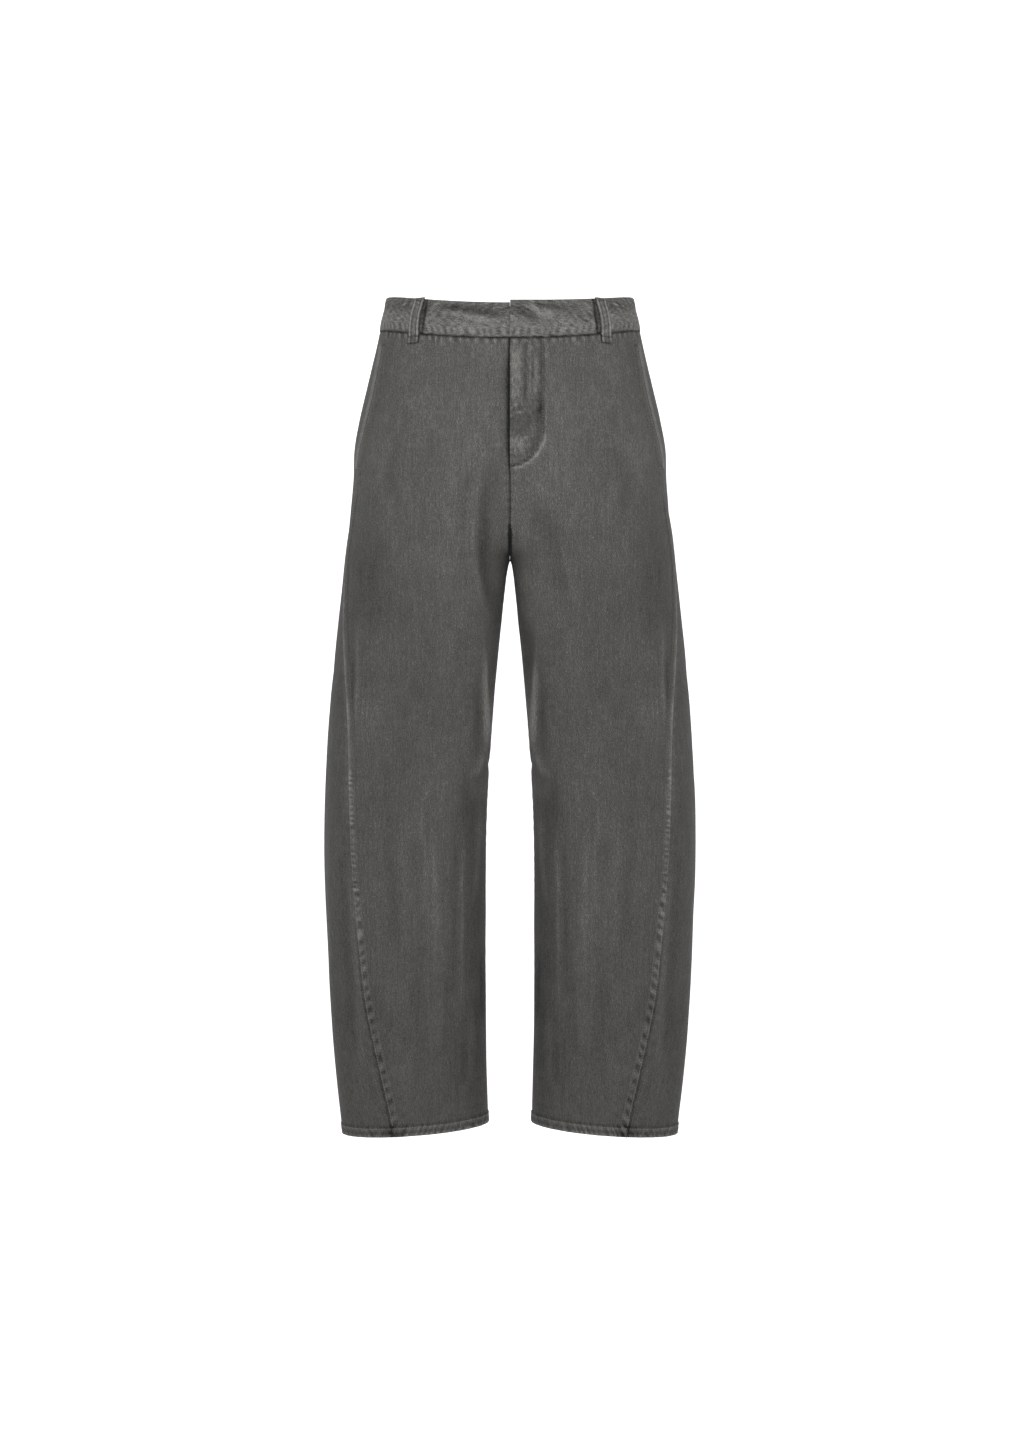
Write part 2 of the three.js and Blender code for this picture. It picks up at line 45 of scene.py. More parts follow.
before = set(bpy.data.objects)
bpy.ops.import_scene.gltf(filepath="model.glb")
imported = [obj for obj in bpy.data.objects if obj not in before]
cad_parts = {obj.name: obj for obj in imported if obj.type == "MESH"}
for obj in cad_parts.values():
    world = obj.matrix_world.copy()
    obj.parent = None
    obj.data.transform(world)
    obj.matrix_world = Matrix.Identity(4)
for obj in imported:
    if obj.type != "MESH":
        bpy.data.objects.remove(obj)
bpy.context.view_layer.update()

# Sizes that the solids and these shells share, in millimetres
CLOTH = 1.3
BAND_THICKNESS = 2.8
BAND_PROUD = 1.0
LAP_RAISE = 1.6
LAP_RISE = 2.8
BAND_HEIGHT = 41.0
SEAM_GAP = 0.3
PANEL_TOP = -BAND_HEIGHT - SEAM_GAP
HEM_LEVEL = -1025.5
HEM_HEIGHT = 12.0
HEM_STEP = 1.2
HEM_RAISE = 0.9
CROTCH_LEVEL = -322.0
CROTCH_ROW_LEVEL = -352.0
SHARE_LEVEL = -240.0
FELL_WIDTH = 12.0
FELL_RAISE = 0.9
FELL_STEP = 1.5
FLY_WIDTH = 42.0
FLY_LENGTH = 176.0
FLY_STRAIGHT = 0.68
FLY_STEP = 2.0
FLY_RAISE = 0.8
FLY_EDGE_RAISE = 1.4
POCKET_TOP = -58.0
POCKET_BOTTOM = -212.0
POCKET_LIFT = 1.6
LOOP_WIDTH = 15.0
LOOP_THICKNESS = 2.0
BAG_BOTTOM = -285.0
BAG_WIDTH = 135.0
BAG_THICKNESS = 1.0
BAG_GAP = 0.5
BAG_BULGE = 2.0
BAG_STRAIGHT = 0.6
BAG_FOOT = 0.85
SHIELD_BOTTOM = -205.0
SHIELD_THICKNESS = 2.2
SHIELD_GAP = 0.5
SHIELD_EDGES = (-12.0, 34.0)
CAMBER_TILT = 0.04
CAMBER_FRONT = -0.00143
CAMBER_BACK = 0.0005
CAMBER_END = -262.0
HEM_SLANT = -0.075
SLANT_END = -700.0
RISE_ROWS = 14
LEG_ROWS = 21
BESIDE_COLUMNS = 4
BESIDE_EDGES = (12.0, 27.0, FLY_WIDTH)
FRONT_COLUMNS = 11
BACK_COLUMNS = 14
ARC_STEPS = 36
GRAIN_LINE = 108.0
EDGE_STEPS = 400

# Columns at the edge of a shell that go under the neighbouring piece, as a seam's allowance does,
# and the levels between which the centre seams end
TUCKED = (-3.2, -0.5)
CENTRE_ENDS = (-330, -300)

# How far down the flat cloth each kind of piece is cut, and how far across it loops and shield are
BACKS_DOWN = 400
BAND_DOWN = 1300
LOOPS_DOWN = 1900
LININGS_DOWN = 2400
LOOPS_APART = 40
SHIELD_ACROSS = 300

# How much finer the panels' shells are than the solids, and how the other shells are divided
FINER_RISE = 8
FINER_LEG = 11
FINER_HEM = 6
FINER_COLUMN = 5
FINER_BACK = 6
BAND_ROWS = 24
BAND_COLUMNS = 176
BAG_COLUMNS = 28
SHIELD_ROWS = 48
SHIELD_COLUMNS = 16

# The loop of cloth round the left leg at each level, seen from above
LEVEL, OUTER, INNER, FRONT, BACK, MID, SQUARE, BESIDE = range(8)
SECTIONS = np.array([
    (6, 151.5, -151.5, -111.6, 107, 0, 2.15, 2.15),
    (0, 152.5, -152.5, -112, 108, 0, 2.15, 2.15),
    (-41, 160.8, -159.6, -115, 116, 0, 2.18, 2.18),
    (-75, 168.4, -164.2, -117, 123, 1, 2.2, 2.2),
    (-113, 177.3, -163.7, -118.5, 131, 2, 2.22, 2.22),
    (-150, 186, -157, -119, 137.5, 3, 2.24, 2.26),
    (-187, 192.4, -142, -118.5, 141, 4, 2.25, 2.4),
    (-224, 193.6, -118, -117.5, 140, 5, 2.25, 2.7),
    (-255, 196.4, -88, -116.4, 135.5, 6, 2.22, 3.1),
    (-280, 199.2, -56, -115, 130, 7, 2.2, 3.5),
    (-300, 201.6, -26.5, -113.5, 124.5, 7, 2.18, 3.8),
    (-314, 203.4, -6.5, -112.4, 121, 8, 2.16, 3.9),
    (-322, 204.3, 0, -111.7, 119, 8, 2.16, 3.9),
    (-336, 206, 3.2, -110.4, 116, 8, 2.15, 3.8),
    (-352, 207.7, 5.3, -108.9, 112.8, 8, 2.14, 3.6),
    (-410, 213.8, 11.4, -103.5, 104, 7, 2.12, 3.0),
    (-485, 221.3, 18.6, -97, 96, 6, 2.12, 2.55),
    (-559, 226.8, 24.2, -91, 91, 5, 2.12, 2.3),
    (-634, 230.8, 28.4, -87, 88, 4, 2.12, 2.18),
    (-708, 231.2, 29.8, -84, 85.5, 4, 2.12, 2.12),
    (-782, 227.8, 29.8, -80, 82.5, 4, 2.1, 2.1),
    (-857, 223.4, 29.6, -76, 79.5, 4, 2.1, 2.1),
    (-931, 217.6, 29.2, -72, 76.5, 4, 2.08, 2.08),
    (-1026, 207.4, 27.2, -68, 73, 4, 2.06, 2.06),
])

# Where the seams run, as degrees round the leg from its outermost line towards the front
OUTSEAM, INSEAM = 1, 2
SEAMS = np.array([
    (6, 19, 180), (-41, 20.5, 180), (-75, 24, 180), (-135, 27, 180), (-180, 25.5, 180),
    (-213, 20.5, 180), (-262, 17.5, 180), (-319, 18, 180), (-370, 23, 180), (-415, 29, 180),
    (-455, 35.5, 180), (-497, 41.5, 181), (-547, 46.2, 182), (-621, 50.2, 183), (-690, 52.6, 184),
    (-756, 54.8, 185), (-826, 57.3, 187), (-861, 59.3, 188), (-898, 62.6, 189),
    (-940, 66.9, 190), (-991, 71.8, 191), (-1026, 74.6, 192),
], dtype=float)

# The largest folds, which the solids have too: leg, from and to level, start and end angle,
# width in degrees, and height
FOLDS = (
    ("right", -180, -455, 86, 166, 11, -4.2),
    ("right", -215, -500, 76, 146, 12, 3),
    ("left", -215, -420, 90, 120, 12, -2.4),
    ("left", -240, -470, 112, 140, 12, 2.2),
    ("both", -345, -540, 146, 152, 12, -2),
    ("both", -250, -460, 50, 66, 13, -2.2),
    ("both", -390, -650, 50, 68, 9, 1.8),
    ("both", -430, -600, 158, 155, 9, 2.4),
    ("both", -560, -700, 148, 142, 9, -2.2),
    ("both", -610, -900, 136, 132, 10, 2),
    ("both", -740, -950, 166, 164, 9, -2.4),
    ("both", -620, -1000, 104, 100, 13, -1.6),
    ("both", -500, -880, 16, 10, 14, -2.4),
    ("both", -700, -1005, 44, 40, 13, -1.8),
    ("both", -235, -430, -112, -150, 14, -5),
    ("both", -260, -480, -88, -116, 14, 3),
    ("both", -300, -520, -34, -60, 14, -2.8),
    ("both", -490, -660, -140, -108, 13, -3.2),
    ("both", -560, -740, -60, -84, 13, -2.8),
    ("both", -660, -1000, -98, -92, 15, 2.2),
    ("both", -700, -1005, -44, -50, 13, -2),
)

# Narrow creases, placed where they are seen from the front, the back, or the outer or inner side. Each
# has the side and leg, its height (a trough is negative), its width towards the outseam and towards the
# inseam (on the outer and inner side, towards the back and the front), and points as (distance out from
# the centre, distance below the waist).
CREASES = (
    # the drag line off the crotch, steeper on its outer side, and the ridge beside it
    ("front", "right", -1.6, 6, 12, ((22, 180), (36, 262), (33, 322), (22, 380), (17, 420))),
    ("front", "right", 0.7, 9, 6, ((30, 230), (45, 290), (40, 345), (29, 400))),
    ("front", "right", -0.7, 8, 8, ((47, 190), (58, 250), (60, 300))),
    # slack on the front of the wearer's left thigh
    ("front", "left", -0.8, 10, 14, ((30, 235), (50, 290), (62, 335), (68, 385))),
    ("front", "left", -0.8, 7, 9, ((16, 395), (24, 430), (31, 470))),
    ("front", "left", 0.5, 6, 6, ((62, 300), (76, 350), (80, 392))),
    # shallow hollows beside the outseam of each thigh
    ("front", "right", -0.6, 14, 18, ((158, 280), (170, 350), (172, 430))),
    ("front", "left", -0.5, 14, 18, ((170, 320), (178, 390), (178, 440))),
    # a ridge in front of the outseam at the knee
    ("front", "both", 1.2, 2.5, 3, ((186, 385), (189, 425), (188, 470), (192, 530))),
    ("front", "both", -0.8, 3, 3, ((195, 430), (194, 470), (196, 515))),
    # inside the knee, and the break below it
    ("front", "both", 2.4, 3, 3, ((30, 415), (30, 480), (30, 540), (33, 580))),
    ("front", "both", -1.0, 6, 4, ((40, 455), (38, 520), (41, 568), (52, 588))),
    ("front", "both", 1.2, 4, 3, ((31, 560), (40, 585), (55, 592))),
    ("front", "both", -0.5, 7, 6, ((50, 565), (54, 605), (50, 650))),
    ("front", "both", 1.5, 3, 3, ((36, 605), (37, 650), (41, 700), (46, 760))),
    ("front", "both", 1.2, 2.2, 2.6, ((54, 640), (57, 672), (61, 710), (61, 780), (60, 900))),
    ("front", "both", -0.7, 4, 5, ((66, 640), (68, 700), (69, 800), (70, 870))),
    ("front", "both", -1.5, 6, 9, ((35, 790), (34, 850), (36, 910))),
    ("front", "both", 0.9, 5, 4, ((46, 880), (48, 940), (50, 985))),
    ("front", "both", -0.6, 12, 11, ((50, 915), (58, 950), (62, 985))),
    # long soft waves down the shin
    ("front", "both", 0.6, 13, 12, ((103, 600), (99, 700), (93, 780), (90, 880), (94, 970))),
    ("front", "both", 0.7, 3, 3, ((112, 610), (106, 680), (104, 750))),
    ("front", "both", 0.6, 3, 4, ((98, 640), (92, 730), (90, 810))),
    ("front", "both", 0.6, 3, 3, ((84, 770), (82, 850), (86, 930))),
    ("front", "both", 0.5, 3, 3, ((122, 690), (118, 780), (116, 840))),
    ("front", "both", -0.5, 9, 9, ((158, 560), (150, 640), (146, 740), (136, 830))),
    ("front", "both", -0.5, 9, 9, ((120, 720), (116, 840), (112, 940), (110, 990))),
    ("front", "both", 0.5, 7, 7, ((136, 640), (130, 760), (124, 860))),
    ("front", "both", -0.4, 6, 7, ((80, 780), (78, 860), (80, 960))),
    ("front", "both", 0.7, 6, 6, ((196, 700), (192, 800), (186, 900), (180, 990))),
    ("front", "both", -0.8, 6, 6, ((208, 620), (206, 720), (200, 840), (192, 960))),
    # faint pulls across the hip below the pocket
    ("front", "right", -0.7, 7, 9, ((132, 150), (146, 200), (150, 260))),
    ("front", "left", -0.7, 7, 9, ((128, 170), (142, 220), (148, 280))),
    # the back: folds off the seat, behind the knee and down the calf
    ("back", "both", -2.4, 7, 14, ((26, 250), (46, 300), (74, 352), (96, 384))),
    ("back", "both", 1.6, 9, 6, ((40, 250), (62, 300), (92, 345), (118, 372))),
    ("back", "both", -2.0, 8, 10, ((22, 330), (34, 372), (56, 410))),
    ("back", "both", -1.4, 8, 9, ((150, 230), (134, 300), (120, 360))),
    ("back", "left", -1.4, 6, 10, ((44, 520), (72, 548), (108, 562), (150, 560))),
    ("back", "left", 0.9, 7, 6, ((48, 556), (80, 582), (120, 596), (164, 588))),
    ("back", "left", -0.9, 6, 9, ((56, 598), (92, 622), (136, 630))),
    ("back", "right", -1.2, 6, 10, ((40, 540), (70, 560), (100, 564), (134, 552))),
    ("back", "right", 0.9, 7, 6, ((44, 574), (78, 592), (116, 592))),
    ("back", "right", -0.8, 6, 9, ((84, 618), (120, 622), (160, 604))),
    ("back", "both", -1.3, 8, 8, ((186, 470), (170, 560), (160, 640))),
    ("back", "both", 1.2, 12, 12, ((112, 660), (108, 760), (104, 880), (108, 980))),
    ("back", "both", -1.1, 9, 9, ((142, 690), (138, 800), (132, 920), (130, 990))),
    ("back", "both", -1.2, 8, 8, ((74, 700), (70, 820), (74, 940))),
    ("back", "both", 0.9, 7, 7, ((172, 680), (168, 800), (160, 940))),
    ("back", "right", -1.0, 8, 10, ((60, 120), (84, 180), (96, 240))),
    ("back", "left", -1.0, 8, 10, ((52, 140), (80, 200), (100, 262))),
    # the outer side of the leg, whose points give the distance behind the middle instead
    ("outer", "both", -0.6, 9, 9, ((2, 60), (12, 110), (6, 160))),
    ("outer", "left", -1.2, 10, 8, ((-36, 215), (-8, 262), (24, 310), (40, 350))),
    ("outer", "right", -1.2, 10, 8, ((-40, 225), (-16, 275), (14, 330), (26, 372))),
    ("outer", "both", 0.8, 8, 8, ((-26, 262), (2, 312), (26, 368))),
    ("outer", "both", -1.4, 8, 9, ((-22, 410), (2, 480), (12, 545), (8, 590))),
    ("outer", "both", 1.0, 8, 7, ((20, 430), (36, 510), (38, 610))),
    ("outer", "left", -1.3, 7, 8, ((74, 552), (46, 580), (12, 592), (-12, 584))),
    ("outer", "right", -1.3, 7, 8, ((76, 536), (50, 560), (20, 574), (-6, 572))),
    ("outer", "both", -1.0, 10, 10, ((22, 690), (16, 790), (12, 890), (16, 985))),
    ("outer", "both", 0.8, 7, 7, ((-26, 710), (-20, 830), (-14, 960))),
    # the inner side of the leg
    ("inner", "both", -1.5, 8, 9, ((-4, 350), (8, 430), (4, 520))),
    ("inner", "both", 1.0, 7, 7, ((28, 365), (42, 435), (38, 505))),
    ("inner", "both", -1.5, 7, 8, ((-34, 548), (-2, 574), (38, 584))),
    ("inner", "both", 1.0, 8, 8, ((-12, 640), (-6, 760), (-12, 880))),
    ("inner", "both", -1.0, 8, 9, ((26, 680), (20, 800), (24, 940))),
)

# Creases along the waistband, from the centre front: which half, height, width along the band,
# and points as (distance from the centre front, distance below its top)
BAND_CREASES = (
    ("left", -0.9, 4, ((3, 2), (14, 12), (26, 20), (40, 24))),
    ("left", 1.0, 5, ((12, 3), (26, 9), (40, 14), (60, 16))),
    ("left", -0.6, 4, ((20, 2), (42, 7), (70, 10))),
    ("left", -0.5, 4, ((64, 18), (88, 22), (112, 20))),
    ("left", 0.5, 4, ((84, 8), (104, 12), (124, 11))),
    ("right", -0.8, 4, ((4, 17), (30, 12), (62, 8), (90, 5))),
    ("right", 0.7, 4, ((6, 23), (40, 19), (80, 14), (104, 12))),
    ("right", -0.5, 4, ((30, 24), (64, 20), (100, 17))),
    ("right", -0.5, 3, ((52, 3), (78, 9), (96, 16))),
    ("left", -0.6, 5, ((190, 12), (240, 16), (300, 12))),
    ("right", -0.6, 5, ((180, 14), (235, 10), (290, 15))),
    ("left", 0.5, 5, ((220, 24), (280, 22), (350, 25))),
    ("right", 0.5, 5, ((210, 22), (270, 25), (340, 22))),
)

# Belt loops round the waist, and how far a loop's inner face stands off the cloth at each level
BELT_LOOPS = (("front", 46.5), ("back", -47.0))
CENTRE_BACK = -90.0
LOOP_PATH = np.array([
    (0.4, 1.5), (-3, 1.5), (-8, 2.0), (-14, 3.4), (-20, 4.2), (-28, 4.3), (-35, 3.5),
    (-40, 2.2), (-44, 1.0), (-48, 0.4), (-53.5, 0.4),
])
LOOP_ROWS = 44
LOOP_COLUMNS = 14
# the bar tacks of a loop: level, how far off the cloth, and half width
LOOP_TACKS = ((-50.0, 0.4, 1.6), (-2.5, 1.5, 1.4))

# The camera's place, from which the creases of the front are seen
CAMERA_AWAY = 3000.0
CAMERA_LEVEL = -517.0

# How the cloth is worn, painted with light and shade, and drawn up. A row is an amount, then the middle
# and half width of a soft line in millimetres, and for MARKS the length of the leg that it covers and how
# softly it ends.
BAND_LINES = ((0.5, 29, 6), (-0.5, 38.2, 1.2), (-0.4, 3.4, 1.2))
BAND_ROUND = 1.6
# the first of the hem's lines is painted shadow under the step at the hem's top
HEM_LINES = ((-0.4, 12.6, 0.9), (0.4, 9.2, 1.2), (-0.3, 5, 2))
# the dark lines at the edge from 58 to 212 below the waist, here and in BACK_MARKS, are painted shade in
# the pocket's mouth
FELL_MARKS = (
    (0.15, 5.5, 4.5, 590, 840, 20), (-1.2, 0, 1.2, 58, 212, 2), (0.3, 3, 2, 58, 212, 2),
    (-0.3, 10.8, 1, 58, 212, 2), (-0.4, 10.8, 0.9, 280, 2000, 50), (-0.5, 0, 1, 785, 2000, 45),
)
BACK_MARKS = (
    (-1, 0, 1.2, 58, 212, 2), (-0.5, 0, 1.2, 785, 2000, 45), (0.3, 3, 3, 310, 640, 30),
)
# the fly's lines, which cover shares of its length, and a loop's, across shares of its half width
FLY_MARKS = (
    (-0.6, 18.5, 1.9, -0.1, 0.47, 0.05), (0.25, 23, 1.8, 0, 0.47, 0.05),
    (-0.4, 27, 1.6, -0.1, 0.3, 0.05), (0.35, 31, 2.6, 0.14, 0.4, 0.05),
    (-0.45, 36, 2.2, 0, 0.6, 0.05),
)
LOOP_LINES = ((0.5, 0.72, 0.22), (-0.35, 0.42, 0.1))
# the lengths that the ridge, the pocket's mouth and the beads cover, and where others begin
RIDGE_COVER = (310, 640, 30)
POCKET_COVER = (-POCKET_TOP, -POCKET_BOTTOM, 2)
BEADS_COVER = (580, 760, 15)
LEG_STARTS = (230, 330)
SHIN_STARTS = (690, 740)
# the waves of an uneven line: each one's rate, and how far a seed shifts it
WAVES = ((2.1, 1.7), (3.37, 2.9), (5.13, 0.7))
# how dark and how pale wear and painted light and shade can make the cloth
WEAR_AND_SHADE_LIMITS = (-1.5, 1.2)
# how far inside the fly's edge its stitching runs, and the points of a bar tack's zigzag
FLY_INSET = 3.0
TACK_POINTS = 14

# Colours of the linings, the thread and the studio, as sRGB
POCKETING_COLOURS = ("#3f3e3d", "#5c5b59")
THREAD_COLOURS = ("#55534f", "#7a7873")
PAPER_COLOURS = ("#fbfbfb", "#ffffff")

# The studio, in metres: the paper's width, front, back and height, and the curve where it turns up
PAPER_WIDTH, PAPER_FRONT, PAPER_BACK, PAPER_HEIGHT, PAPER_CURVE = 24, -9, 4.5, 7, 2.2
DOME_RADIUS = 30
WORLD_STRENGTH = 0.42
SENSOR = 36
# the photograph's 1433 rows take in this height at the waist's depth
VIEW_HEIGHT = 1.777


def colour_setting(name, description, default):
    """A colour among the settings."""
    return FloatVectorProperty(name=name, description=description, subtype="COLOR_GAMMA",
                               default=default, min=0, max=1)


def length_setting(name, description, default, low, high):
    """A length among the settings, in metres."""
    return FloatProperty(name=name, description=description, default=default, min=low, max=high,
                         unit="LENGTH")


def amount_setting(name, description, default, high):
    """A plain number among the settings."""
    return FloatProperty(name=name, description=description, default=default, min=0, max=high)


class ClothSettings(bpy.types.PropertyGroup):
    """Colours and unevenness of the cloth."""

    # the pale colour also gives the painted highlights, and the dark colour the painted shade in folds
    # and creases
    light: colour_setting("Worn thread", "Colour of the cloth where it is worn, as sRGB",
                          (0.565, 0.558, 0.544))
    middle: colour_setting("Washed cloth", "Colour of most of the cloth, as sRGB", (0.322, 0.318, 0.311))
    dark: colour_setting("Dyed thread", "Colour of the cloth in its folds, as sRGB", (0.09, 0.089, 0.087))
    crease: amount_setting("Creases", "How deep the creases are, against those shown", 1.0, 2)
    pucker: length_setting("Puckers", "How far a seam draws the cloth up", 0.0005, 0, 0.002)


class SewingSettings(bpy.types.PropertyGroup):
    """Sizes of the stitches."""

    stitch: length_setting("Stitch", "Length of a stitch that shows", 0.0026, 0.001, 0.006)
    pitch: length_setting("Pitch", "From one stitch to the next", 0.0034, 0.001, 0.008)
    thread: length_setting("Thread", "Width of the thread", 0.0008, 0.0002, 0.002)


class StageSettings(bpy.types.PropertyGroup):
    """The studio."""

    floor: length_setting("Floor", "Height of the floor", -1.5, -5, -1.1)
    key: amount_setting("Key light", "Power of the light over the camera, in watts", 32, 1000)
    fill: amount_setting("Fill lights", "Power of each light at the side, in watts", 3, 1000)


# Tables and curves


def smooth(value, start, end):
    """Goes softly from 0 at start to 1 at end."""
    t = np.clip((np.asarray(value, float) - start) / (end - start), 0, 1)
    return t * t * (3 - 2 * t)


def soft_line(value, centre, width):
    """A soft line, 1 at its middle."""
    return np.exp(-((value - centre) / width) ** 2)


def soft_lines(value, rows):
    """Adds up soft lines, each given as its amount, middle and width."""
    return sum(amount * soft_line(value, centre, width) for amount, centre, width in rows)


def window(value, start, end, soft):
    """1 between start and end, falling softly to 0 outside them."""
    return smooth(value, start - soft, start + soft) * (1 - smooth(value, end - soft, end + soft))


def marks(across, down, rows):
    """Adds up soft lines that each cover a part of the length."""
    return sum(amount * soft_line(across, centre, width) * window(down, *cover)
               for amount, centre, width, *cover in rows)


def read(table, column, level):
    """Reads a column of a table at any level, as a smooth curve through its rows."""
    at = table[:, LEVEL]
    value = table[:, column]
    slope = np.gradient(value, at)
    slope[1:-1] = (value[2:] - value[:-2]) / (at[2:] - at[:-2])
    level = np.asarray(level, float)
    i = np.clip(np.searchsorted(-at, -level, side="left") - 1, 0, len(at) - 2)
    span = at[i + 1] - at[i]
    t = np.clip((level - at[i]) / span, 0, 1)
    t2 = t * t
    t3 = t2 * t
    start = value[i] * (2 * t3 - 3 * t2 + 1) + slope[i] * span * (t3 - 2 * t2 + t)
    return start + value[i + 1] * (3 * t2 - 2 * t3) + slope[i + 1] * span * (t3 - t2)


def wobble(t, seed):
    """An uneven wave between about -1 and 1."""
    return sum(np.sin(rate * t + turn * seed) for rate, turn in WAVES) / 2.2


def ripples(along, spacing, seed):
    """Puckers along a seam, unevenly spaced and deep, between about -1 and 1."""
    shift = 0.3 * spacing * wobble(along / (2.9 * spacing), seed)
    depth = 0.68 + 0.32 * wobble(along / (1.9 * spacing), seed + 5)
    return np.cos(2 * np.pi * (along + shift) / spacing) * depth


def unit(vectors):
    """Vectors at length 1."""
    return vectors / np.linalg.norm(vectors, axis=-1, keepdims=True)


def run_length(points):
    """The length of a line up to each of its points."""
    steps = np.linalg.norm(np.diff(points, axis=-2), axis=-1)
    return np.concatenate([np.zeros(steps.shape[:-1] + (1,)), np.cumsum(steps, axis=-1)], axis=-1)


# The cloth of the left leg


def bare_cloth(level, degrees):
    """Points of the cloth with no folds, with the waist's camber and the hem's slant."""
    level, degrees = np.broadcast_arrays(np.asarray(level, float), np.asarray(degrees, float))
    outer = read(SECTIONS, OUTER, level)
    inner = read(SECTIONS, INNER, level)
    mid = read(SECTIONS, MID, level)
    middle = (outer + inner) / 2
    c = np.cos(np.radians(degrees))
    n = np.sin(np.radians(degrees))
    power = np.where(c > 0, read(SECTIONS, SQUARE, level), read(SECTIONS, BESIDE, level))
    reach = (np.abs(c) ** power + np.abs(n) ** power) ** (-1 / power)
    x = middle + (outer - inner) / 2 * c * reach
    depth = np.where(n > 0, mid - read(SECTIONS, FRONT, level), read(SECTIONS, BACK, level) - mid)
    y = mid - depth * n * reach
    bow = np.where(y < 0, CAMBER_FRONT, CAMBER_BACK)
    camber = (CAMBER_TILT * y + bow * y * y) * smooth(level, CAMBER_END, -BAND_HEIGHT)
    slant = HEM_SLANT * (x - middle) * (1 - smooth(level, HEM_LEVEL, SLANT_END))
    return np.stack([x + SEAM_GAP / 2, y, level + camber + slant], axis=-1)


def outwards(level, degrees):
    """The way out of the cloth."""
    along = bare_cloth(level, degrees + 0.5) - bare_cloth(level, degrees - 0.5)
    up = bare_cloth(level + 0.5, degrees) - bare_cloth(level - 0.5, degrees)
    return unit(np.cross(up, along))


def fold_height(leg, level, degrees):
    """How far the largest folds push the cloth out."""
    height = np.zeros(np.broadcast(level, degrees).shape)
    for one, start, end, first, last, width, rise in FOLDS:
        if one in (leg, "both"):
            along = (level - start) / (end - start)
            off = degrees - (first + (last - first) * along)
            bump = rise * np.sin(np.pi * np.clip(along, 0, 1)) ** 2 * soft_line(off, 0, width)
            height += np.where((along > 0) & (along < 1), bump, 0)
    return height


def inner_angle(level, front):
    """The angle of the centre seam, or of the inseam below the crotch."""
    level = np.asarray(level, float)
    outer = read(SECTIONS, OUTER, level)
    inner = read(SECTIONS, INNER, level)
    beside = read(SECTIONS, BESIDE, level)
    share = np.clip((outer + inner) / np.maximum(outer - inner, 1e-6), 0, 1)
    angle = np.degrees(np.arctan2((1 - share ** beside) ** (1 / beside), -share))
    seam = read(SEAMS, INSEAM, level)
    above, below = (angle, seam) if front else (-angle, seam - 360)
    return np.where(level <= CROTCH_LEVEL, below, above)


def round_level(level, start, end):
    """Angles at even steps round each level, and the length of cloth and the x at each."""
    angles = start[:, None] + (end - start)[:, None] * np.linspace(0, 1, ARC_STEPS + 1)
    points = bare_cloth(level[:, None], angles)
    return angles, run_length(points), points[:, :, 0]


def between(values, target, results):
    """Where each row of values first reaches its target, read off the same row of results."""
    past = values[:, 1:] >= target[:, None]
    i = np.where(past.any(axis=1), past.argmax(axis=1) + 1, ARC_STEPS)
    row = np.arange(len(values))
    low = values[row, i - 1]
    gap = values[row, i] - low
    share = (target - low) / np.where(np.abs(gap) < 1e-9, 1, gap)
    first = results[row, i - 1]
    return first + (results[row, i] - first) * share


def round_panel(level, front):
    """Steps round a panel, from its inner edge to the outseam."""
    return round_level(level, inner_angle(level, front), read(SEAMS, OUTSEAM, level))


def even_levels(top, bottom, rows, front):
    """Levels that divide a panel's inner edge into rows of equal length."""
    share = 1 - (1 - np.arange(EDGE_STEPS + 1) / EDGE_STEPS) ** 2
    levels = top + (bottom - top) * share
    lengths = run_length(bare_cloth(levels, inner_angle(levels, front)))
    return np.interp(lengths[-1] * np.arange(rows) / rows, lengths, levels)


def panel_rows(front, finer_rise, finer_leg, finer_hem):
    """Every row of a panel, as the levels of its inner edge and of its outseam edge."""
    hem_top = HEM_LEVEL + HEM_HEIGHT
    above = hem_top + HEM_STEP
    rise = np.arange(RISE_ROWS * finer_rise) / (RISE_ROWS * finer_rise)
    leg = np.arange(LEG_ROWS * finer_leg) / (LEG_ROWS * finer_leg)
    hem = np.append(above, hem_top - HEM_HEIGHT * np.arange(finer_hem + 1) / finer_hem)
    inner = even_levels(PANEL_TOP, CROTCH_LEVEL, len(rise), front)
    outer = PANEL_TOP + (CROTCH_ROW_LEVEL - PANEL_TOP) * rise
    return (np.concatenate([inner, CROTCH_LEVEL + (above - CROTCH_LEVEL) * leg, hem]),
            np.concatenate([outer, CROTCH_ROW_LEVEL + (above - CROTCH_ROW_LEVEL) * leg, hem]))


def panel_columns(front, level):
    """Where the solids' columns cross each level, from the inner edge, and the whole width."""
    _, lengths, x = round_panel(level, front)
    total = lengths[:, -1]
    start = np.full(len(level), SEAM_GAP / 2)
    end = total - SEAM_GAP / 2
    reach = np.maximum(0, read(SECTIONS, INNER, level))
    beside = [between(x, distance + reach, lengths) for distance in BESIDE_EDGES]

    def divide(low, high, count):
        return [low + (high - low) * (i + 1) / count for i in range(count)]

    columns = [start] + divide(start, beside[0], BESIDE_COLUMNS) + beside[1:]
    if front:
        fell = total - FELL_WIDTH
        step = columns[-1] + FLY_STEP
        columns += [step] + divide(step, fell - FELL_STEP, FRONT_COLUMNS) + [fell, end]
    else:
        columns += divide(columns[-1], end, BACK_COLUMNS)
    return np.stack(columns, axis=1), total


def fine_index(front):
    """Where the shell's columns lie among the solids' columns."""
    counts = [FINER_COLUMN] * (BESIDE_COLUMNS + len(BESIDE_EDGES) - 1)
    if front:
        counts += [1] + [FINER_COLUMN] * FRONT_COLUMNS + [2, FINER_COLUMN]
    else:
        counts += [FINER_BACK] * BACK_COLUMNS
    return np.array([0.0] + [i + (k + 1) / n for i, n in enumerate(counts) for k in range(n)])


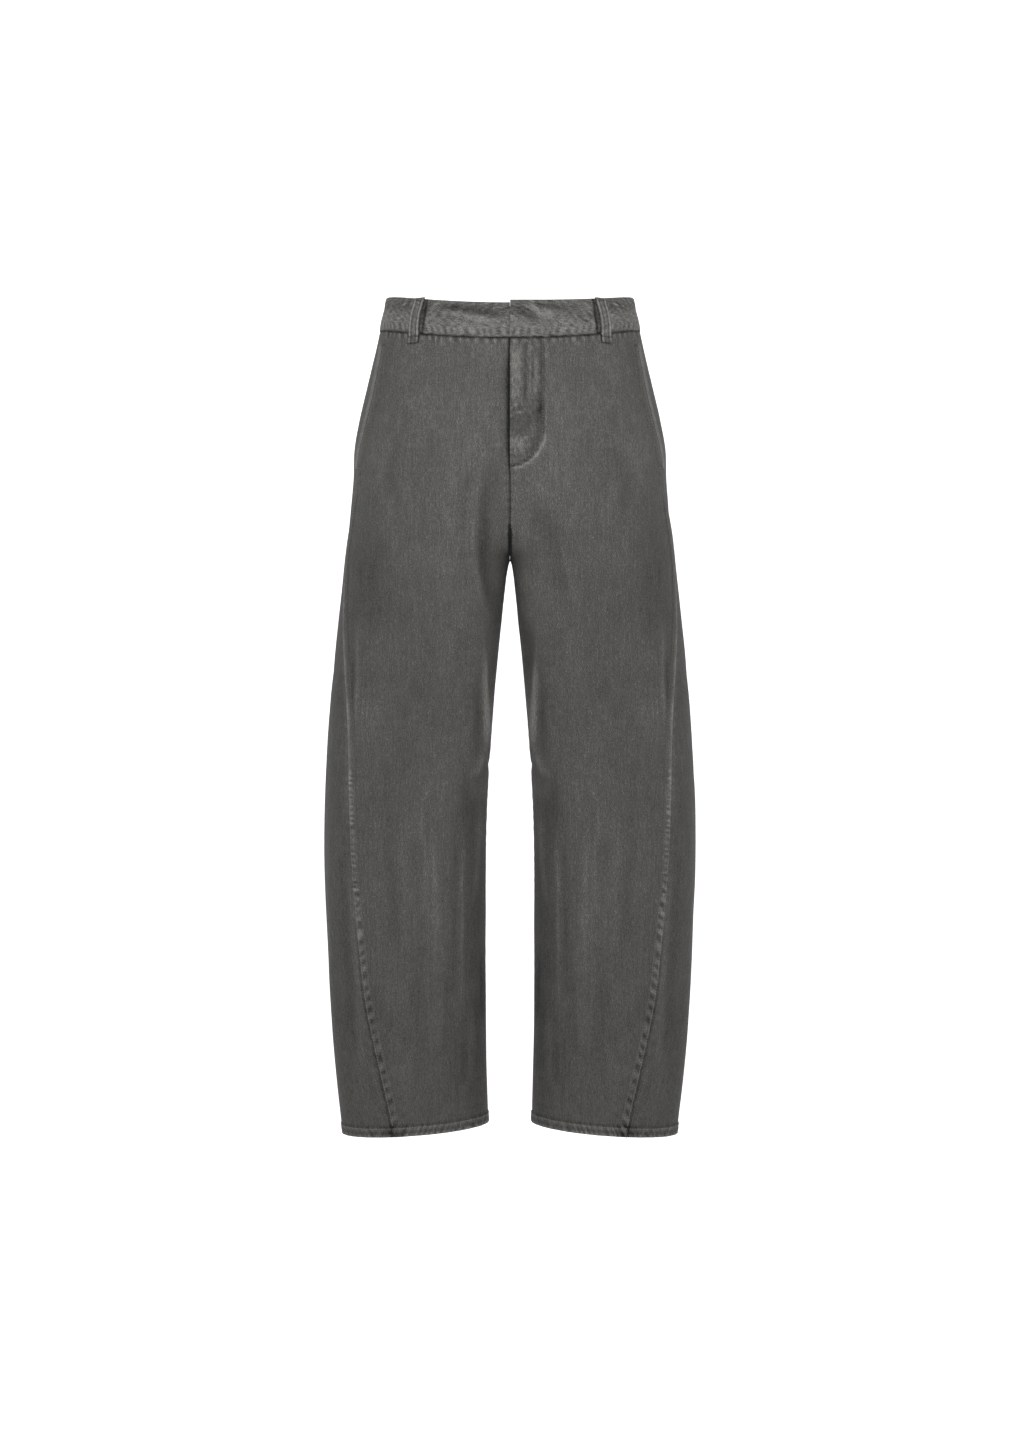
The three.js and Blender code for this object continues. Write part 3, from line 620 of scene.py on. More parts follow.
def pick(columns, index):
    """Each row's lengths at fractions between the solids' own columns."""
    low = np.minimum(index.astype(int), columns.shape[1] - 2)
    share = index - low
    row = np.arange(len(columns))[:, None]
    return columns[row, low] * (1 - share) + columns[row, low + 1] * share


# Places on a panel: its side, level, angle, the lengths of cloth to its inner edge and outseam, and
# the length from the thread that runs straight down the panel
Places = namedtuple("Places", "front level angle from_inner from_outseam grain")


def panel_places(front):
    """The grid of a panel's shell."""
    inner, outer = panel_rows(front, FINER_RISE, FINER_LEG, FINER_HEM)
    index = fine_index(front)
    hip_columns, hip_total = panel_columns(front, np.maximum(outer, SHARE_LEVEL))
    share = pick(hip_columns, np.tile(index, (len(inner), 1))) / hip_total[:, None]
    level = inner[:, None] + (outer - inner)[:, None] * share
    columns, _ = panel_columns(front, level.ravel())
    from_inner = pick(columns, np.tile(index, len(inner))[:, None]).reshape(level.shape)
    level = np.concatenate([level[:, :1], level[:, :1], level], axis=1)
    from_inner = np.concatenate([np.tile(TUCKED, (len(inner), 1)), from_inner], axis=1)
    at = places_along(front, level.ravel(), from_inner=from_inner.ravel())
    return Places(front, *(part.reshape(level.shape) for part in at[1:]))


def places_along(front, level, from_inner=None, from_outseam=None):
    """Places at a distance from the inner edge or from the outseam."""
    level = np.asarray(level, float)
    angles, lengths, across = round_panel(level, front)
    total = lengths[:, -1]
    if from_inner is None:
        from_inner = total - from_outseam
    from_inner = np.broadcast_to(np.asarray(from_inner, float), level.shape)
    angle = between(lengths, from_inner, angles)
    middle = between(across, np.full(level.shape, GRAIN_LINE), lengths)
    return Places(front, level, angle, from_inner, total - from_inner, from_inner - middle)


# Creases, seams and puckers


def along_line(x, y, line):
    """The signed distance of points from a line, and how far along it they are, from 0 to 1."""
    line = np.array(line, float)
    parts = np.linalg.norm(np.diff(line, axis=0), axis=1)
    best = np.full(x.shape, np.inf)
    side = np.zeros(x.shape)
    done = np.zeros(x.shape)
    before = 0.0
    for (ax, ay), (ux, uy), part in zip(line, np.diff(line, axis=0) / parts[:, None], parts):
        t = np.clip((x - ax) * ux + (y - ay) * uy, 0, part)
        dx = x - ax - t * ux
        dy = y - ay - t * uy
        away = np.hypot(dx, dy)
        nearer = away < best
        best = np.where(nearer, away, best)
        side = np.where(nearer, np.sign(ux * dy - uy * dx), side)
        done = np.where(nearer, (before + t) / parts.sum(), done)
        before += part
    return best * side, done


def crease_height(leg, points, normals):
    """How far the narrow creases push the cloth out."""
    away = CAMERA_AWAY / (CAMERA_AWAY + points[..., 1])
    across, back, up = np.moveaxis(points, -1, 0)
    facing, behind = normals[..., 0], normals[..., 1]
    # each side is seen as two measures, and where the cloth faces it
    sides = {
        "front": (across * away, -(CAMERA_LEVEL + (up - CAMERA_LEVEL) * away),
                  smooth(-behind, 0.02, 0.3)),
        "back": (across, -up, smooth(behind, 0.02, 0.3)),
        "outer": (back, -up, smooth(facing, 0.4, 0.8)),
        "inner": (back, -up, smooth(-facing, 0.4, 0.8)),
    }
    height = np.zeros(across.shape)
    for side, one, rise, to_outseam, to_inseam, line in CREASES:
        if one in (leg, "both"):
            over, down, seen = sides[side]
            off, along = along_line(over, down, line)
            # the lines run downwards, so the outseam, or the back, lies on their negative side
            width = np.where(off < 0, to_outseam, to_inseam)
            taper = smooth(along, 0, 0.3) * (1 - smooth(along, 0.68, 1))
            height += rise * seen * taper * soft_line(off, 0, width)
    return height


def fly_reach(level):
    """How far the fly's facing reaches from the centre front, and how far down it each level is."""
    drop = (-BAND_HEIGHT - level) / FLY_LENGTH
    curve = np.clip((drop - FLY_STRAIGHT) / (1 - FLY_STRAIGHT), 0, 1)
    return FLY_WIDTH * np.sqrt(1 - curve ** 2), drop


def past_fly(inside, drop):
    """The distance outside the fly's edge, which is straight and then a quarter of an ellipse."""
    foot = FLY_LENGTH * (1 - FLY_STRAIGHT)
    down = np.maximum(drop - FLY_STRAIGHT, 0) * FLY_LENGTH
    ring = np.hypot(inside / FLY_WIDTH, down / foot) + 1e-6
    slope = np.hypot(inside / FLY_WIDTH ** 2, down / foot ** 2) / ring
    return (ring - 1) / np.maximum(slope, 1e-3)


def hem_relief(at, pucker, seed):
    """The turned-up hem, drawn in by its stitching. Gives the height, and the wear with painted light and
    shade.
    """
    above = at.level - HEM_LEVEL
    in_hem = 1 - smooth(above, HEM_HEIGHT - 1, HEM_HEIGHT + 4)
    drawn = ripples(at.grain + 0.45 * above, 6.8, seed)
    broad = ripples(at.grain + 0.3 * above, 15, seed + 2)
    height = (HEM_RAISE * (1 - smooth(above, HEM_HEIGHT, HEM_HEIGHT + HEM_STEP))
              + pucker * in_hem * (0.7 * drawn + 0.5 * broad) - 0.3 * soft_line(above, 9.6, 0.9))
    crossing = soft_line(at.from_outseam, 0, 9)
    # the puckers are paler on top and darker between, partly wear and partly painted shade, and the first
    # of HEM_LINES is painted shadow under the hem's top step
    wear_and_shade = in_hem * (0.4 * drawn + 0.15 * broad - 0.7 * crossing + 0.12)
    edge = 0.5 * soft_line(above, 0.8, 1.8) * (1 + 0.9 * drawn)
    return height, wear_and_shade + soft_lines(above, HEM_LINES) + edge


def waist_relief(at, pucker, seed):
    """The cloth gathers a little below the waist seam, whose line is dark."""
    below = PANEL_TOP - at.level
    gathers = np.exp(-np.maximum(below, 0) / 8)
    drawn = ripples(at.grain, 10.5, seed)
    height = 0.8 * pucker * gathers * drawn - 0.6 * soft_line(below, 0, 0.9)
    broken = 0.75 + 0.25 * wobble(at.grain / 16, seed)
    # the gathers are paler on top and darker between, partly wear and partly painted shade
    wear_and_shade = 0.75 * soft_line(below, 4, 2.6) * drawn - 1.5 * broken * soft_line(below, 0, 0.8)
    return height, wear_and_shade + 0.12 * gathers


def fell_relief(at, pucker, seed):
    """The allowance that is felled to the front beside the outseam, and the pocket's mouth."""
    across = at.from_outseam
    down = -at.level
    roped = ripples(down + 0.7 * across, 14, seed)
    beads = ripples(down, 7.2, seed + 1)
    middle = soft_line(across, 5.5, 4.5)
    on_leg = smooth(down, *LEG_STARTS)
    low = smooth(down, *SHIN_STARTS)
    stronger = on_leg * (0.4 + 0.6 * low)
    ridge = window(down, *RIDGE_COVER)
    along = np.clip((at.level - POCKET_TOP) / (POCKET_BOTTOM - POCKET_TOP), 0, 1)
    height = (FELL_RAISE * (1 - smooth(across, FELL_WIDTH, FELL_WIDTH + FELL_STEP))
              + 1.3 * pucker * middle * stronger * roped - 0.5 * soft_line(across, 10.6, 0.9)
              + 0.7 * soft_line(across, 3, 2.5) * ridge
              + POCKET_LIFT * np.sin(np.pi * along) ** 0.7 * smooth(-across, -45, -FELL_WIDTH))
    # the dimples between the stitches are dark and square, partly wear and partly painted shade, and the
    # strip beside them is paler
    dimples = smooth(-roped, 0, 0.4) * window(across, 2.5, 9.2, 1.2)
    ridge_highlight_strength = 0.75 + 0.25 * wobble(down / 23, 3)
    tacks = soft_line(at.level, POCKET_TOP, 3) + soft_line(at.level, POCKET_BOTTOM, 3)
    # the ridge in front of the outseam gets a painted highlight, and the dark lines of FELL_MARKS at the
    # pocket's mouth are painted shade
    wear_and_shade = (0.22 * stronger * window(across, 1, 10.5, 1) - 0.7 * low * dimples
            + 0.3 * low * middle * smooth(roped, 0.1, 0.8)
            + 0.7 * window(across, 1, 7.5, 1.5) * beads * window(down, *BEADS_COVER)
            + ridge_highlight_strength * soft_line(across, 2.8, 2.4) * ridge + marks(across, down, FELL_MARKS)
            - 0.5 * tacks * (1 - smooth(across, 10, 12)))
    return height, wear_and_shade


def back_relief(leg, at, pucker, seed):
    """A back's edges beside the outseam, and the felled centre back seam."""
    across = at.from_outseam
    down = -at.level
    beside = soft_line(across, 0, 9)
    drawn = ripples(down, 13.5, seed + 3)
    centre = smooth(at.level, *CENTRE_ENDS)
    seam = soft_line(at.from_inner, 0, 10) * centre
    gathered = ripples(down, 14, 6)
    height = (0.6 * pucker * beside * smooth(down, *LEG_STARTS) * drawn
              + 0.9 * pucker * seam * gathered)
    # the puckers are paler on top, partly wear and partly painted light, and the dark line of BACK_MARKS
    # at the pocket's mouth is painted shade
    wear_and_shade = (0.15 * beside * drawn + 0.6 * window(across, 2, 15, 2) * window(down, *POCKET_COVER)
            + marks(across, down, BACK_MARKS) + 0.25 * seam * gathered
            - 0.8 * centre * soft_line(at.from_inner, 0, 1.2))
    if leg == "left":
        height += 0.6 * centre * (1 - smooth(at.from_inner, 9.5, 11))
        wear_and_shade += 0.25 * centre * window(at.from_inner, 1, 9, 1)
    return height, wear_and_shade


def front_relief(leg, at, pucker):
    """The fly, its stitching and the puckers beside the centre front."""
    reach, drop = fly_reach(at.level)
    down = -at.level
    inside = at.from_inner
    above = 1 - smooth(drop, 0.98, 1.06)
    below = (1 - above) * smooth(at.level, *CENTRE_ENDS)
    drawn = ripples(down, 11, 5) * soft_line(inside, 0, 6) * below
    line = soft_line(inside, 0, 1.3) * below
    height = 0.9 * pucker * drawn - 0.5 * line
    # the puckers are paler on top and darker between, partly wear and partly painted shade
    wear_and_shade = 0.25 * drawn - 0.9 * line
    if leg == "right":
        # the shade that the lap throws on the front below it
        wide = 1.7 + 2.2 * window(drop, 0.12, 0.88, 0.12)
        wear_and_shade -= (0.3 * soft_line(inside, 0, 9) * window(drop, 0.1, 1, 0.15)
                 + 1.6 * soft_line(inside, 0, wide) * above)
        return height - 0.6 * soft_line(inside, 0, 3) * above, wear_and_shade
    bent = inside + 1.1 * wobble(down / 14, 2) * smooth(inside, 2, 10)
    on_fly = (1 - smooth(inside, reach - 0.6, reach + 1.4)) * (drop < 1)
    past = past_fly(inside, drop)
    stitched = soft_line(past, -3, 1.3) * (drop < 1)
    # the layers of the fly buckle between its edge and the stitching, and sink below the middle
    buckle = np.cos(bent * 0.62 + 0.05 * at.level) * on_fly * smooth(inside, 5, 14)
    sinks = drop + 0.0045 * (bent - 20) + 0.02 * wobble(bent / 9, 4)
    hollow = window(sinks, 0.5, 0.7, 0.05) * on_fly * (0.55 + 0.45 * wobble(bent / 11 + down / 17, 1))
    hollow *= 1 - smooth(inside, 36, 41)
    slope = drop * FLY_LENGTH - (104 - 0.45 * inside)
    pull = soft_line(slope, 0, 1.8) * on_fly * (1 - smooth(inside, 15, 24))
    # a ridge outside the foot of the stitching
    ridge = soft_line(past, 1.2, 2.2) * window(drop, 0.76, 1.04, 0.05) * smooth(inside, 2, 8)
    height += (FLY_RAISE * on_fly + (FLY_EDGE_RAISE - FLY_RAISE) * soft_line(inside, 0, 1.6) * above
               - 0.55 * stitched
               + pucker * (1.1 * buckle * (1 - smooth(drop, 0.38, 0.5)) - 1.6 * hollow
                           + 1.2 * pull + 1.5 * ridge))
    # fine wrinkles of the fly, and the lines of its bar tack
    mottled = wobble(bent / 5.5 + down / 21, 3) * wobble(down / 9 - bent / 17, 6)
    tacked = soft_line(drop, 0.872, 0.007) + soft_line(drop, 0.912, 0.007)
    wear_and_shade += on_fly * (0.42 * window(bent, 2, 12, 1.5) * window(drop, 0.08, 0.45, 0.04)
                      + marks(bent, drop, FLY_MARKS)
                      + 0.32 * window(drop, 0.76, 0.9, 0.03) * (1 - smooth(bent, 14, 20))
                      - 0.45 * soft_line(past, -7, 3.5) * window(drop, 0.45, 0.9, 0.05)
                      + 0.45 * mottled * window(drop, 0.02, 0.93, 0.03)
                      - 0.6 * tacked * (1 - smooth(inside, 11, 16)))
    # the pull and the ridge are paler and the hollow darker, partly wear and partly painted light and
    # shade
    wear_and_shade += (0.8 * pull - 0.5 * stitched - 0.6 * hollow + 0.8 * ridge
             - 0.8 * soft_line(past, -2, 1.6) * window(drop, 0.9, 1, 0.03))
    return height, wear_and_shade


def seam_relief(leg, at, pucker):
    """What is sewn on or turned under, and how the seams draw the cloth up, wear it and paint light and
    shade on their puckers.
    """
    seed = 1 if leg == "left" else 4
    inseam = soft_line(at.from_inner, 0, 7) * smooth(-at.level, 330, 360)
    drawn = inseam * ripples(-at.level, 15, seed + 8)
    parts = [hem_relief(at, pucker, seed), waist_relief(at, pucker, seed + 1),
             (0.6 * pucker * drawn, 0.15 * drawn)]
    if at.front:
        parts += [fell_relief(at, pucker, seed + 3), front_relief(leg, at, pucker)]
    else:
        parts.append(back_relief(leg, at, pucker, seed))
    return [sum(part) for part in zip(*parts)]


def slack(points, seed):
    """The faint unevenness of washed cloth."""
    x, y, z = np.moveaxis(points, -1, 0)
    broad = np.sin(x / 17 + 1.3 * np.sin(z / 71 + seed)) * np.sin(z / 83 + y / 31 + 0.7 * seed)
    fine = np.sin(x / 6.1 + 1.7 * np.sin(z / 37 + 2 * seed)) * np.sin(z / 29 + 1.1 * seed + y / 13)
    return 0.45 * broad + 0.16 * fine


def cloth_face(leg, at, settings):
    """Points of a panel's outer and inner face, the way out, and the cloth's wear with painted light and
    shade.
    """
    down = -at.level
    bare = bare_cloth(at.level, at.angle)
    normals = outwards(at.level, at.angle)
    folds = fold_height(leg, at.level, at.angle)
    creases = settings.crease * crease_height(leg, bare, normals)
    relief, seam_wear_and_shade = seam_relief(leg, at, settings.pucker * 1000)
    # the allowance that goes under the neighbouring piece
    under = 1 - smooth(at.from_inner, -0.5, 0)
    relief = relief * (1 - under)
    from_edges = smooth(at.from_inner, 0, 14) * smooth(at.from_outseam, 0, 14)
    uneven = slack(bare, 1 if leg == "left" else 2) * from_edges * smooth(down, 45, 70)
    # the fronts and backs meet flat where the legs part
    parting = window(at.level, -338, -286, 10) * (1 - smooth(at.from_inner, 4, 16))
    moved = (folds + creases + uneven) * (1 - parting)
    outer = moved + relief - 1.65 * under
    inner = moved + np.minimum(relief, 0.2) - CLOTH - 1.2 * under
    # the insides of the thighs are paler, partly rubbed and partly painted light against the shade there
    thigh_rub_and_painted_light = smooth(-normals[..., 0], 0.4, 0.9) * window(down, 335, 620, 15)
    # painted shade makes the cloth darker down the leg and where it turns to the sides
    rub_and_painted_light = (0.4 * thigh_rub_and_painted_light - 0.24 * smooth(down, 180, 430) - 0.2 * smooth(down, 620, 1000)
             - 0.22 * smooth(np.abs(normals[..., 0]), 0.45, 0.95))
    # the thighs meet below the fly and shade each other
    slot = (1 - smooth(bare[..., 0], 1.4, 3.6)) * window(at.level, -324, -292, 8)
    # the ridges of the creases, folds and slack are paler and their troughs darker, partly wear and
    # partly painted light and shade
    wear_and_shade = (np.clip(0.3 * creases, -0.7, 1) + 0.03 * folds + 0.1 * uneven + rub_and_painted_light + seam_wear_and_shade
            - 1.5 * slot * smooth(-normals[..., 1], -0.2, 0.1))
    return *lift(bare, normals, outer, inner), normals, np.clip(wear_and_shade, *WEAR_AND_SHADE_LIMITS)


def lift(points, normals, *heights):
    """Points moved out along their normals, once for each set of heights."""
    return [points + normals * height[..., None] for height in heights]


# Meshes and pieces


def wall(outer, inner):
    """Points and four-sided faces of a closed wall between two grids."""
    rows, columns = outer.shape[:2]
    points = np.concatenate([outer.reshape(-1, 3), inner.reshape(-1, 3)])
    out, back = np.arange(2 * rows * columns).reshape(2, rows, columns)
    faces = [
        (out[:-1, :-1], out[1:, :-1], out[1:, 1:], out[:-1, 1:]),
        (back[:-1, :-1], back[:-1, 1:], back[1:, 1:], back[1:, :-1]),
        (out[0, :-1], out[0, 1:], back[0, 1:], back[0, :-1]),
        (out[-1, 1:], out[-1, :-1], back[-1, :-1], back[-1, 1:]),
        (out[1:, 0], out[:-1, 0], back[:-1, 0], back[1:, 0]),
        (out[:-1, -1], out[1:, -1], back[1:, -1], back[:-1, -1]),
    ]
    quads = [np.stack([corner.ravel() for corner in corners], axis=1) for corners in faces]
    return points, np.concatenate(quads)


def new_piece(name, points, faces, material, flat=None, wear_and_shade=None, angle=50):
    """A mesh object at the origin from points in millimetres, with the flat cloth as its UV map."""
    mesh = bpy.data.meshes.new(name)
    mesh.vertices.add(len(points))
    mesh.vertices.foreach_set("co", (points / 1000).ravel())
    corners = faces.shape[1]
    mesh.loops.add(len(faces) * corners)
    mesh.loops.foreach_set("vertex_index", faces.ravel().astype(np.int32))
    mesh.polygons.add(len(faces))
    mesh.polygons.foreach_set("loop_start", np.arange(0, faces.size, corners, dtype=np.int32))
    if flat is not None:
        layer = mesh.uv_layers.new(name="flat_cloth")
        layer.data.foreach_set("uv", (flat[faces.ravel()] / 1000).ravel())
    mesh.update(calc_edges=True)
    if mesh.validate():
        raise RuntimeError(f"{name}: the mesh had faults")
    values = np.zeros(len(points)) if wear_and_shade is None else wear_and_shade
    attribute = mesh.attributes.new("wear_and_shade", "FLOAT", "POINT")
    attribute.data.foreach_set("value", values.astype(np.float32))
    piece = bpy.data.objects.new(name, mesh)
    bpy.context.collection.objects.link(piece)
    mesh.materials.append(use_material(material))
    bpy.ops.object.select_all(action="DESELECT")
    piece.select_set(True)
    bpy.context.view_layer.objects.active = piece
    bpy.ops.object.shade_smooth_by_angle(angle=math.radians(angle))
    piece.select_set(False)
    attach(piece, "root")
    return piece


def grid_piece(name, leg, backwards, faces, flat, wear_and_shade, material, angle=50):
    """A closed shell from an outer and an inner grid.

    The right leg's is mirrored. Where a mirrored or backward grid's faces would point in, its rows
    are turned round.
    """
    grids = [faces[0], faces[1], flat, wear_and_shade[..., None]]
    if leg == "right":
        grids[:2] = [grid * (-1, 1, 1) for grid in grids[:2]]
    if backwards == (leg == "left"):
        grids = [grid[:, ::-1] for grid in grids]
    points, quads = wall(*grids[:2])
    flat = np.tile(grids[2].reshape(-1, 2), (2, 1))
    return new_piece(name, points, quads, material, flat, np.tile(grids[3].ravel(), 2), angle)



# Materials


def linear(colour):
    """Turns a colour from sRGB, as a hex string or three shares, to linear."""
    if isinstance(colour, str):
        colour = [int(colour[i:i + 2], 16) / 255 for i in (1, 3, 5)]
    return tuple(c / 12.92 if c <= 0.04045 else ((c + 0.055) / 1.055) ** 2.4 for c in colour) + (1,)


def add_node(tree, kind, links=None, **settings):
    """Adds a node. A setting is a property of it or an input, and links join outputs to inputs."""
    node = tree.nodes.new(kind)
    for name, value in settings.items():
        if hasattr(node, name):
            setattr(node, name, value)
    for name, value in settings.items():
        if not hasattr(node, name):
            node.inputs[name.replace("_", " ")].default_value = value
    for name, source in (links or {}).items():
        if isinstance(source, (int, float, tuple)):
            node.inputs[name].default_value = source
        else:
            tree.links.new(source, node.inputs[name])
    return node


def finish_material(tree, **links):
    """The surface shader and the output."""
    links = {name.replace("_", " "): value for name, value in links.items()}
    shader = add_node(tree, "ShaderNodeBsdfPrincipled", links)
    add_node(tree, "ShaderNodeOutputMaterial", {"Surface": shader.outputs["BSDF"]})


def flat_cloth(tree):
    """Places on the flat cloth, in metres."""
    return add_node(tree, "ShaderNodeUVMap", uv_map="flat_cloth").outputs[0]


def noise_at(tree, source, across, along, detail, seed):
    """Noise on the flat cloth, with grains of a size across and along it, in millimetres."""
    mapping = add_node(tree, "ShaderNodeMapping", {"Vector": source},
                       Scale=(1000 / across, 1000 / along, 1), Location=(seed, seed * 1.7, 0))
    return add_node(tree, "ShaderNodeTexNoise", {"Vector": mapping.outputs[0]},
                    noise_dimensions="2D", Scale=1.0, Detail=detail, Roughness=0.6).outputs[0]


def weigh(tree, *parts):
    """Adds up parts, each a socket with the value it swings round and its weight, from a half."""
    total = 0.5
    for socket, centre, weight in parts:
        scaled = add_node(tree, "ShaderNodeMath", {0: socket, 1: weight, 2: -centre * weight},
                          operation="MULTIPLY_ADD").outputs[0]
        total = add_node(tree, "ShaderNodeMath", {0: scaled, 1: total}, operation="ADD").outputs[0]
    return total


def ramp(tree, factor, first, last, middle=None):
    """A colour between the first and the last, which may pass through a middle one."""
    node = add_node(tree, "ShaderNodeValToRGB", {"Fac": factor})
    stops = node.color_ramp.elements
    stops[0].color = linear(first)
    stops[1].color = linear(last)
    if middle:
        stops.new(0.5).color = linear(middle)
    return node.outputs[0]


def denim(tree):
    """Washed black cotton denim: a dyed warp over a paler weft, faded where it is rubbed, and painted
    paler and darker with light and shade.
    """
    settings = bpy.context.scene.jeans_cloth
    flat = flat_cloth(tree)
    # the wear, with the light and shade painted on creases, puckers, sides and hollows
    wear_and_shade = add_node(tree, "ShaderNodeAttribute", attribute_name="wear_and_shade").outputs["Fac"]
    # slubs of the warp, 1.3 mm wide and 6.5 mm long, about three times as wide as real ones
    slubs = noise_at(tree, flat, 1.3, 6.5, 2, 3.1)
    # the grain of the twill after washing, about 1.7 mm, real threads of 0.4 mm being too fine
    grain = noise_at(tree, flat, 1.5, 1.9, 3, 7.7)
    # creases set by the wash, 3 mm wide and 40 mm long
    streaks = noise_at(tree, flat, 3.2, 42, 2, 6.4)
    # uneven fading from the wash, in patches of about 15 mm and of about 70 mm
    patches = noise_at(tree, flat, 11, 19, 3, 1.9)
    clouds = noise_at(tree, flat, 55, 90, 2, 5.3)
    # the lines of a twill, 2.1 mm apart against a real 0.9 mm, so that they still show
    turned = add_node(tree, "ShaderNodeMapping", {"Vector": flat},
                      Rotation=(0, 0, math.radians(28)), Scale=(1000, 1000, 1))
    twill = add_node(tree, "ShaderNodeTexWave", {"Vector": turned.outputs[0]},
                     wave_type="BANDS", bands_direction="X", Scale=0.15, Distortion=1.2,
                     Detail=1.0).outputs["Fac"]
    tone = weigh(tree, (slubs, 0.5, 0.38), (grain, 0.5, 0.6), (streaks, 0.5, 0.18),
                 (patches, 0.5, 0.14), (clouds, 0.5, 0.12), (twill, 0.5, 0.06), (wear_and_shade, 0, 0.36))
    height = weigh(tree, (slubs, 0.5, 0.5), (grain, 0.5, 0.6), (twill, 0.5, 0.4))
    bump = add_node(tree, "ShaderNodeBump", {"Height": height}, Strength=0.55, Distance=0.0005)
    rough = add_node(tree, "ShaderNodeMapRange", {"Value": tone}, To_Min=0.95, To_Max=0.84)
    finish_material(tree, Base_Color=ramp(tree, tone, settings.dark, settings.light, settings.middle),
                    Roughness=rough.outputs[0], IOR=1.47, Specular_IOR_Level=0.25,
                    Sheen_Weight=0.03, Sheen_Roughness=0.5, Normal=bump.outputs[0])


def pocketing(tree):
    """Plain-woven grey cotton for pockets: flat, even and matt."""
    flat = flat_cloth(tree)
    # threads drawn 1.4 mm apart against a real 0.4 mm
    weave = add_node(tree, "ShaderNodeMapping", {"Vector": flat}, Scale=(1000, 1000, 1))
    checks = add_node(tree, "ShaderNodeTexChecker", {"Vector": weave.outputs[0]}, Scale=0.7)
    grain = noise_at(tree, flat, 3, 3, 2, 2.2)
    tone = weigh(tree, (grain, 0.5, 0.8), (checks.outputs["Fac"], 0.5, 0.1))
    bump = add_node(tree, "ShaderNodeBump", {"Height": tone}, Strength=0.3, Distance=0.0003)
    finish_material(tree, Base_Color=ramp(tree, tone, *POCKETING_COLOURS), Roughness=0.92,
                    IOR=1.47, Specular_IOR_Level=0.3, Normal=bump.outputs[0])


def noise_in_place(tree, scale, detail):
    """Noise on an object, whose scale is its grains to a metre."""
    place = add_node(tree, "ShaderNodeTexCoord").outputs["Object"]
    return add_node(tree, "ShaderNodeTexNoise", {"Vector": place}, Scale=scale,
                    Detail=detail).outputs[0]


def thread(tree):
    """Spun polyester sewing thread, dyed with the cloth: a little smoother than it."""
    # each stitch has taken the dye a little differently
    colour = ramp(tree, noise_in_place(tree, 260, 1), *THREAD_COLOURS)
    finish_material(tree, Base_Color=colour, Roughness=0.7, IOR=1.5, Specular_IOR_Level=0.4)


def paper(tree):
    """Matt white studio paper."""
    colour = ramp(tree, noise_in_place(tree, 3, 2), *PAPER_COLOURS)
    finish_material(tree, Base_Color=colour, Roughness=0.9, Emission_Color=(1, 1, 1, 1),
                    Emission_Strength=0.58)


def backdrop(tree):
    """An evenly lit white backdrop."""
    finish_material(tree, Base_Color=linear("#ffffff"), Roughness=1.0,
                    Emission_Color=(1, 1, 1, 1), Emission_Strength=1.0)


MATERIALS = {
    "washed_black_denim": denim,
    "woven_cotton_pocketing": pocketing,
    "tonal_sewing_thread": thread,
    "white_studio_paper": paper,
    "lit_white_backdrop": backdrop,
}


def use_material(name):
    """A material by its name, made when it is first asked for."""
    material = bpy.data.materials.get(name)
    if not material:
        material = bpy.data.materials.new(name)
        material.use_nodes = True
        material.node_tree.nodes.clear()
        MATERIALS[name](material.node_tree)
    return material


# Steps


class JEANS_OT_panels(bpy.types.Operator):
    """Makes the two fronts and the two backs."""

    bl_idname = "jeans.panels"
    bl_label = "Fronts and backs"

    def execute(self, context):
        for side, down, size, area in (("front", 0, (0.32, 1.02), 0.245),
                                       ("back", BACKS_DOWN, (0.41, 1.06), 0.33)):
            at = panel_places(side == "front")
            flat = np.stack([at.grain, at.level - down], axis=-1)
            for leg in ("left", "right"):
                outer, inner, _, wear_and_shade = cloth_face(leg, at, context.scene.jeans_cloth)
                piece = grid_piece(f"denim_{side}_{leg}", leg, side == "back", (outer, inner), flat,
                                   wear_and_shade, "washed_black_denim")
                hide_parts(f"{side}_{leg}")
        return {"FINISHED"}


